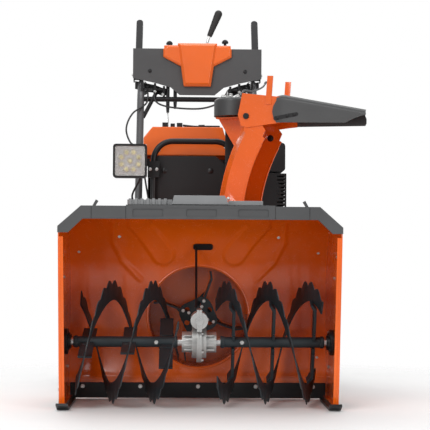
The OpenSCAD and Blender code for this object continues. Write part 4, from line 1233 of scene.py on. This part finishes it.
def dash_trim():
    bm = bmesh.new()
    centre = [(-0.048, 1.017), (0.048, 1.017), (0.070, 1.170), (-0.070, 1.170)]
    raised_plate(bm, centre, 1.1165, 1.1062, 0.0095)
    finish_mesh(bm, "trim_centre", "shroud_plastic", "chassis", ("dash_trim",), bevel=0.0022,
                segments=3, bevel_angle=15)
    bm = bmesh.new()
    wing = [(0.040, 1.078), (0.062, 1.090), (0.121, 1.121), (0.121, 1.150), (0.108, 1.163),
            (0.040, 1.163)]
    for outline in ([(-x, z) for x, z in wing][::-1], wing):
        raised_plate(bm, outline, 1.1200, 1.1146, 0.0070)
    add_box(bm, (-0.118, 1.1205, 1.1526), (0.118, 1.1450, 1.1624))
    finish_mesh(bm, "trim_wings", "shroud_plastic", "chassis", bevel=0.0022, segments=3,
                bevel_angle=15)


dash_trim()


def speed_lever():
    foot_z = 1.070
    elbow, tip = Vector((0.036, PIVOT_Y, 1.190)), Vector((0.080, PIVOT_Y, 1.300))
    shank = [(0.020, PIVOT_Y, foot_z), elbow, elbow.lerp(tip, 0.22)]
    bm = bmesh.new()
    add_tube(bm, rounded(shank, 0.03, 6), 0.0050, 16)
    add_lathe(bm, [(0.0041, 0), (0.009, 0), (0.009, 0.024), (0.0041, 0.024)],
              face_side(0.008, PIVOT_Y, foot_z, 1), 32)
    add_tube(bm, [(0.0008, PIVOT_Y, foot_z), (0.0472, PIVOT_Y, foot_z)], 0.004, 16)
    finish_mesh(bm, "speed_lever_shank", "zinc_steel", "speed_lever", ("speed_lever",))
    bm = bmesh.new()
    axis = (tip - elbow).normalized()
    place = facing(elbow + axis * 0.019, axis)
    end_r, end_z = 0.0139, 0.087
    profile = [(0, 0), (0.0082, 0), (0.0090, 0.002)]
    profile += [(0.0092 + 0.0046 * k / 8 + (0.0003 if k % 2 else 0), 0.004 + 0.0100 * k)
                for k in range(9)]
    profile += [(r, end_z + h) for r, h in (polar(end_r, 9 * k) for k in range(10))]
    add_lathe(bm, profile + [(0, end_z + end_r)], place, 32)
    finish_mesh(bm, "speed_lever_grip", "grip_rubber", "speed_lever", smooth=60)


speed_lever()


# ---------- wheels ----------

CARCASS_R = 0.196


def tyre_carcass():
    half, rim, corner = 0.0825, 0.104, 0.026
    profile = [(rim + 0.002, -half + 0.014), (rim, -half + 0.006), (rim + 0.006, -half + 0.003),
               (rim + 0.020, -half + 0.004), (rim + 0.030, -half + 0.0015)]
    for k in range(9):
        r, h = polar(corner, -90 + 90 * k / 8)
        profile.append((CARCASS_R - corner + r, -half + 0.0275 + h))
    profile += [(CARCASS_R + 0.0008, -0.02), (CARCASS_R + 0.0010, 0.0)]
    profile += [(r, -h) for r, h in profile[::-1][1:]]
    bm = bmesh.new()
    for s in (-1, 1):
        add_lathe(bm, profile, face_side(s * WHEEL_X, WHEEL_Y, WHEEL_Z, 1), 96)
    finish_mesh(bm, "tyre_carcass", "tyre_rubber", "wheels", ("tyres",), smooth=40)


def tyre_lugs():
    """Swept lugs in two rows a half step apart, lower towards the sidewalls."""
    bm = bmesh.new()
    count, wide, lug_r = 22, 2.3, 0.2027
    for s in (-1, 1):
        centre = Vector((s * WHEEL_X, WHEEL_Y, WHEEL_Z))
        for i in range(count):
            for t in (-1, 1):
                base = 360 / count * (i + (0.5 if t > 0 else 0))
                rings = []
                for k in range(6):
                    f = k / 5
                    angle = base + 7.0 * f * f + 3.0 * f
                    drop = 0.0175 * max(0.0, f - 0.62) ** 1.5 / 0.62
                    foot = CARCASS_R - 0.003 - drop * 2.0
                    section = ((-wide, foot), (-wide * 0.75, lug_r - drop),
                               (wide * 0.75, lug_r - drop), (wide, foot))
                    rings.append([bm.verts.new(centre + Vector((t * (0.004 + 0.070 * f),
                                                                *polar(r, angle + more))))
                                  for more, r in section])
                skin(bm, rings)
    finish_mesh(bm, "tyre_lugs", "tyre_rubber", "wheels", smooth=30)


tyre_carcass()
tyre_lugs()


# ---------- hood and covers ----------

def shroud_details():
    bm = bmesh.new()
    for x, w, h in ((-0.106, 0.018, 0.016), (-0.082, 0.014, 0.013), (-0.060, 0.018, 0.015)):
        add_box(bm, (x - w / 2, 0.655, 0.8262), (x + w / 2, 0.680, 0.8262 + h))
    line = spline([(-0.050, 0.668, 0.834), (-0.010, 0.670, 0.8305), (0.030, 0.668, 0.831),
                   (0.068, 0.664, 0.8305)], 6)
    add_tube(bm, line, 0.0036, 12)
    add_tube(bm, [(0.000, 0.670, 0.8308), (0.020, 0.669, 0.8312)], 0.0060, 12)
    finish_mesh(bm, "hood_connectors", "black_plastic", "chassis", bevel=0.001)
    bm = bmesh.new()
    for x, z in ((0.086, 0.762), (-0.125, 0.752)):
        bolt_head(bm, face_front(x, 0.6402, z), 0.0050, 0.0035)
    finish_mesh(bm, "hood_bolts", "zinc_steel", "chassis")
    bm = bmesh.new()
    # Thin black strips on the hood's side and back: painted shade standing for the vent slots.
    for k in range(9):
        y = 0.700 + 0.022 * k
        add_box(bm, (-0.1752, y, 0.748), (-0.1738, y + 0.010, 0.784))
    for k in range(7):
        add_box(bm, (-0.060 + 0.020 * k, 0.9545, 0.752), (-0.050 + 0.020 * k, 0.9556, 0.800))
    finish_mesh(bm, "hood_vent_shade", "black_plastic", "chassis")


shroud_details()
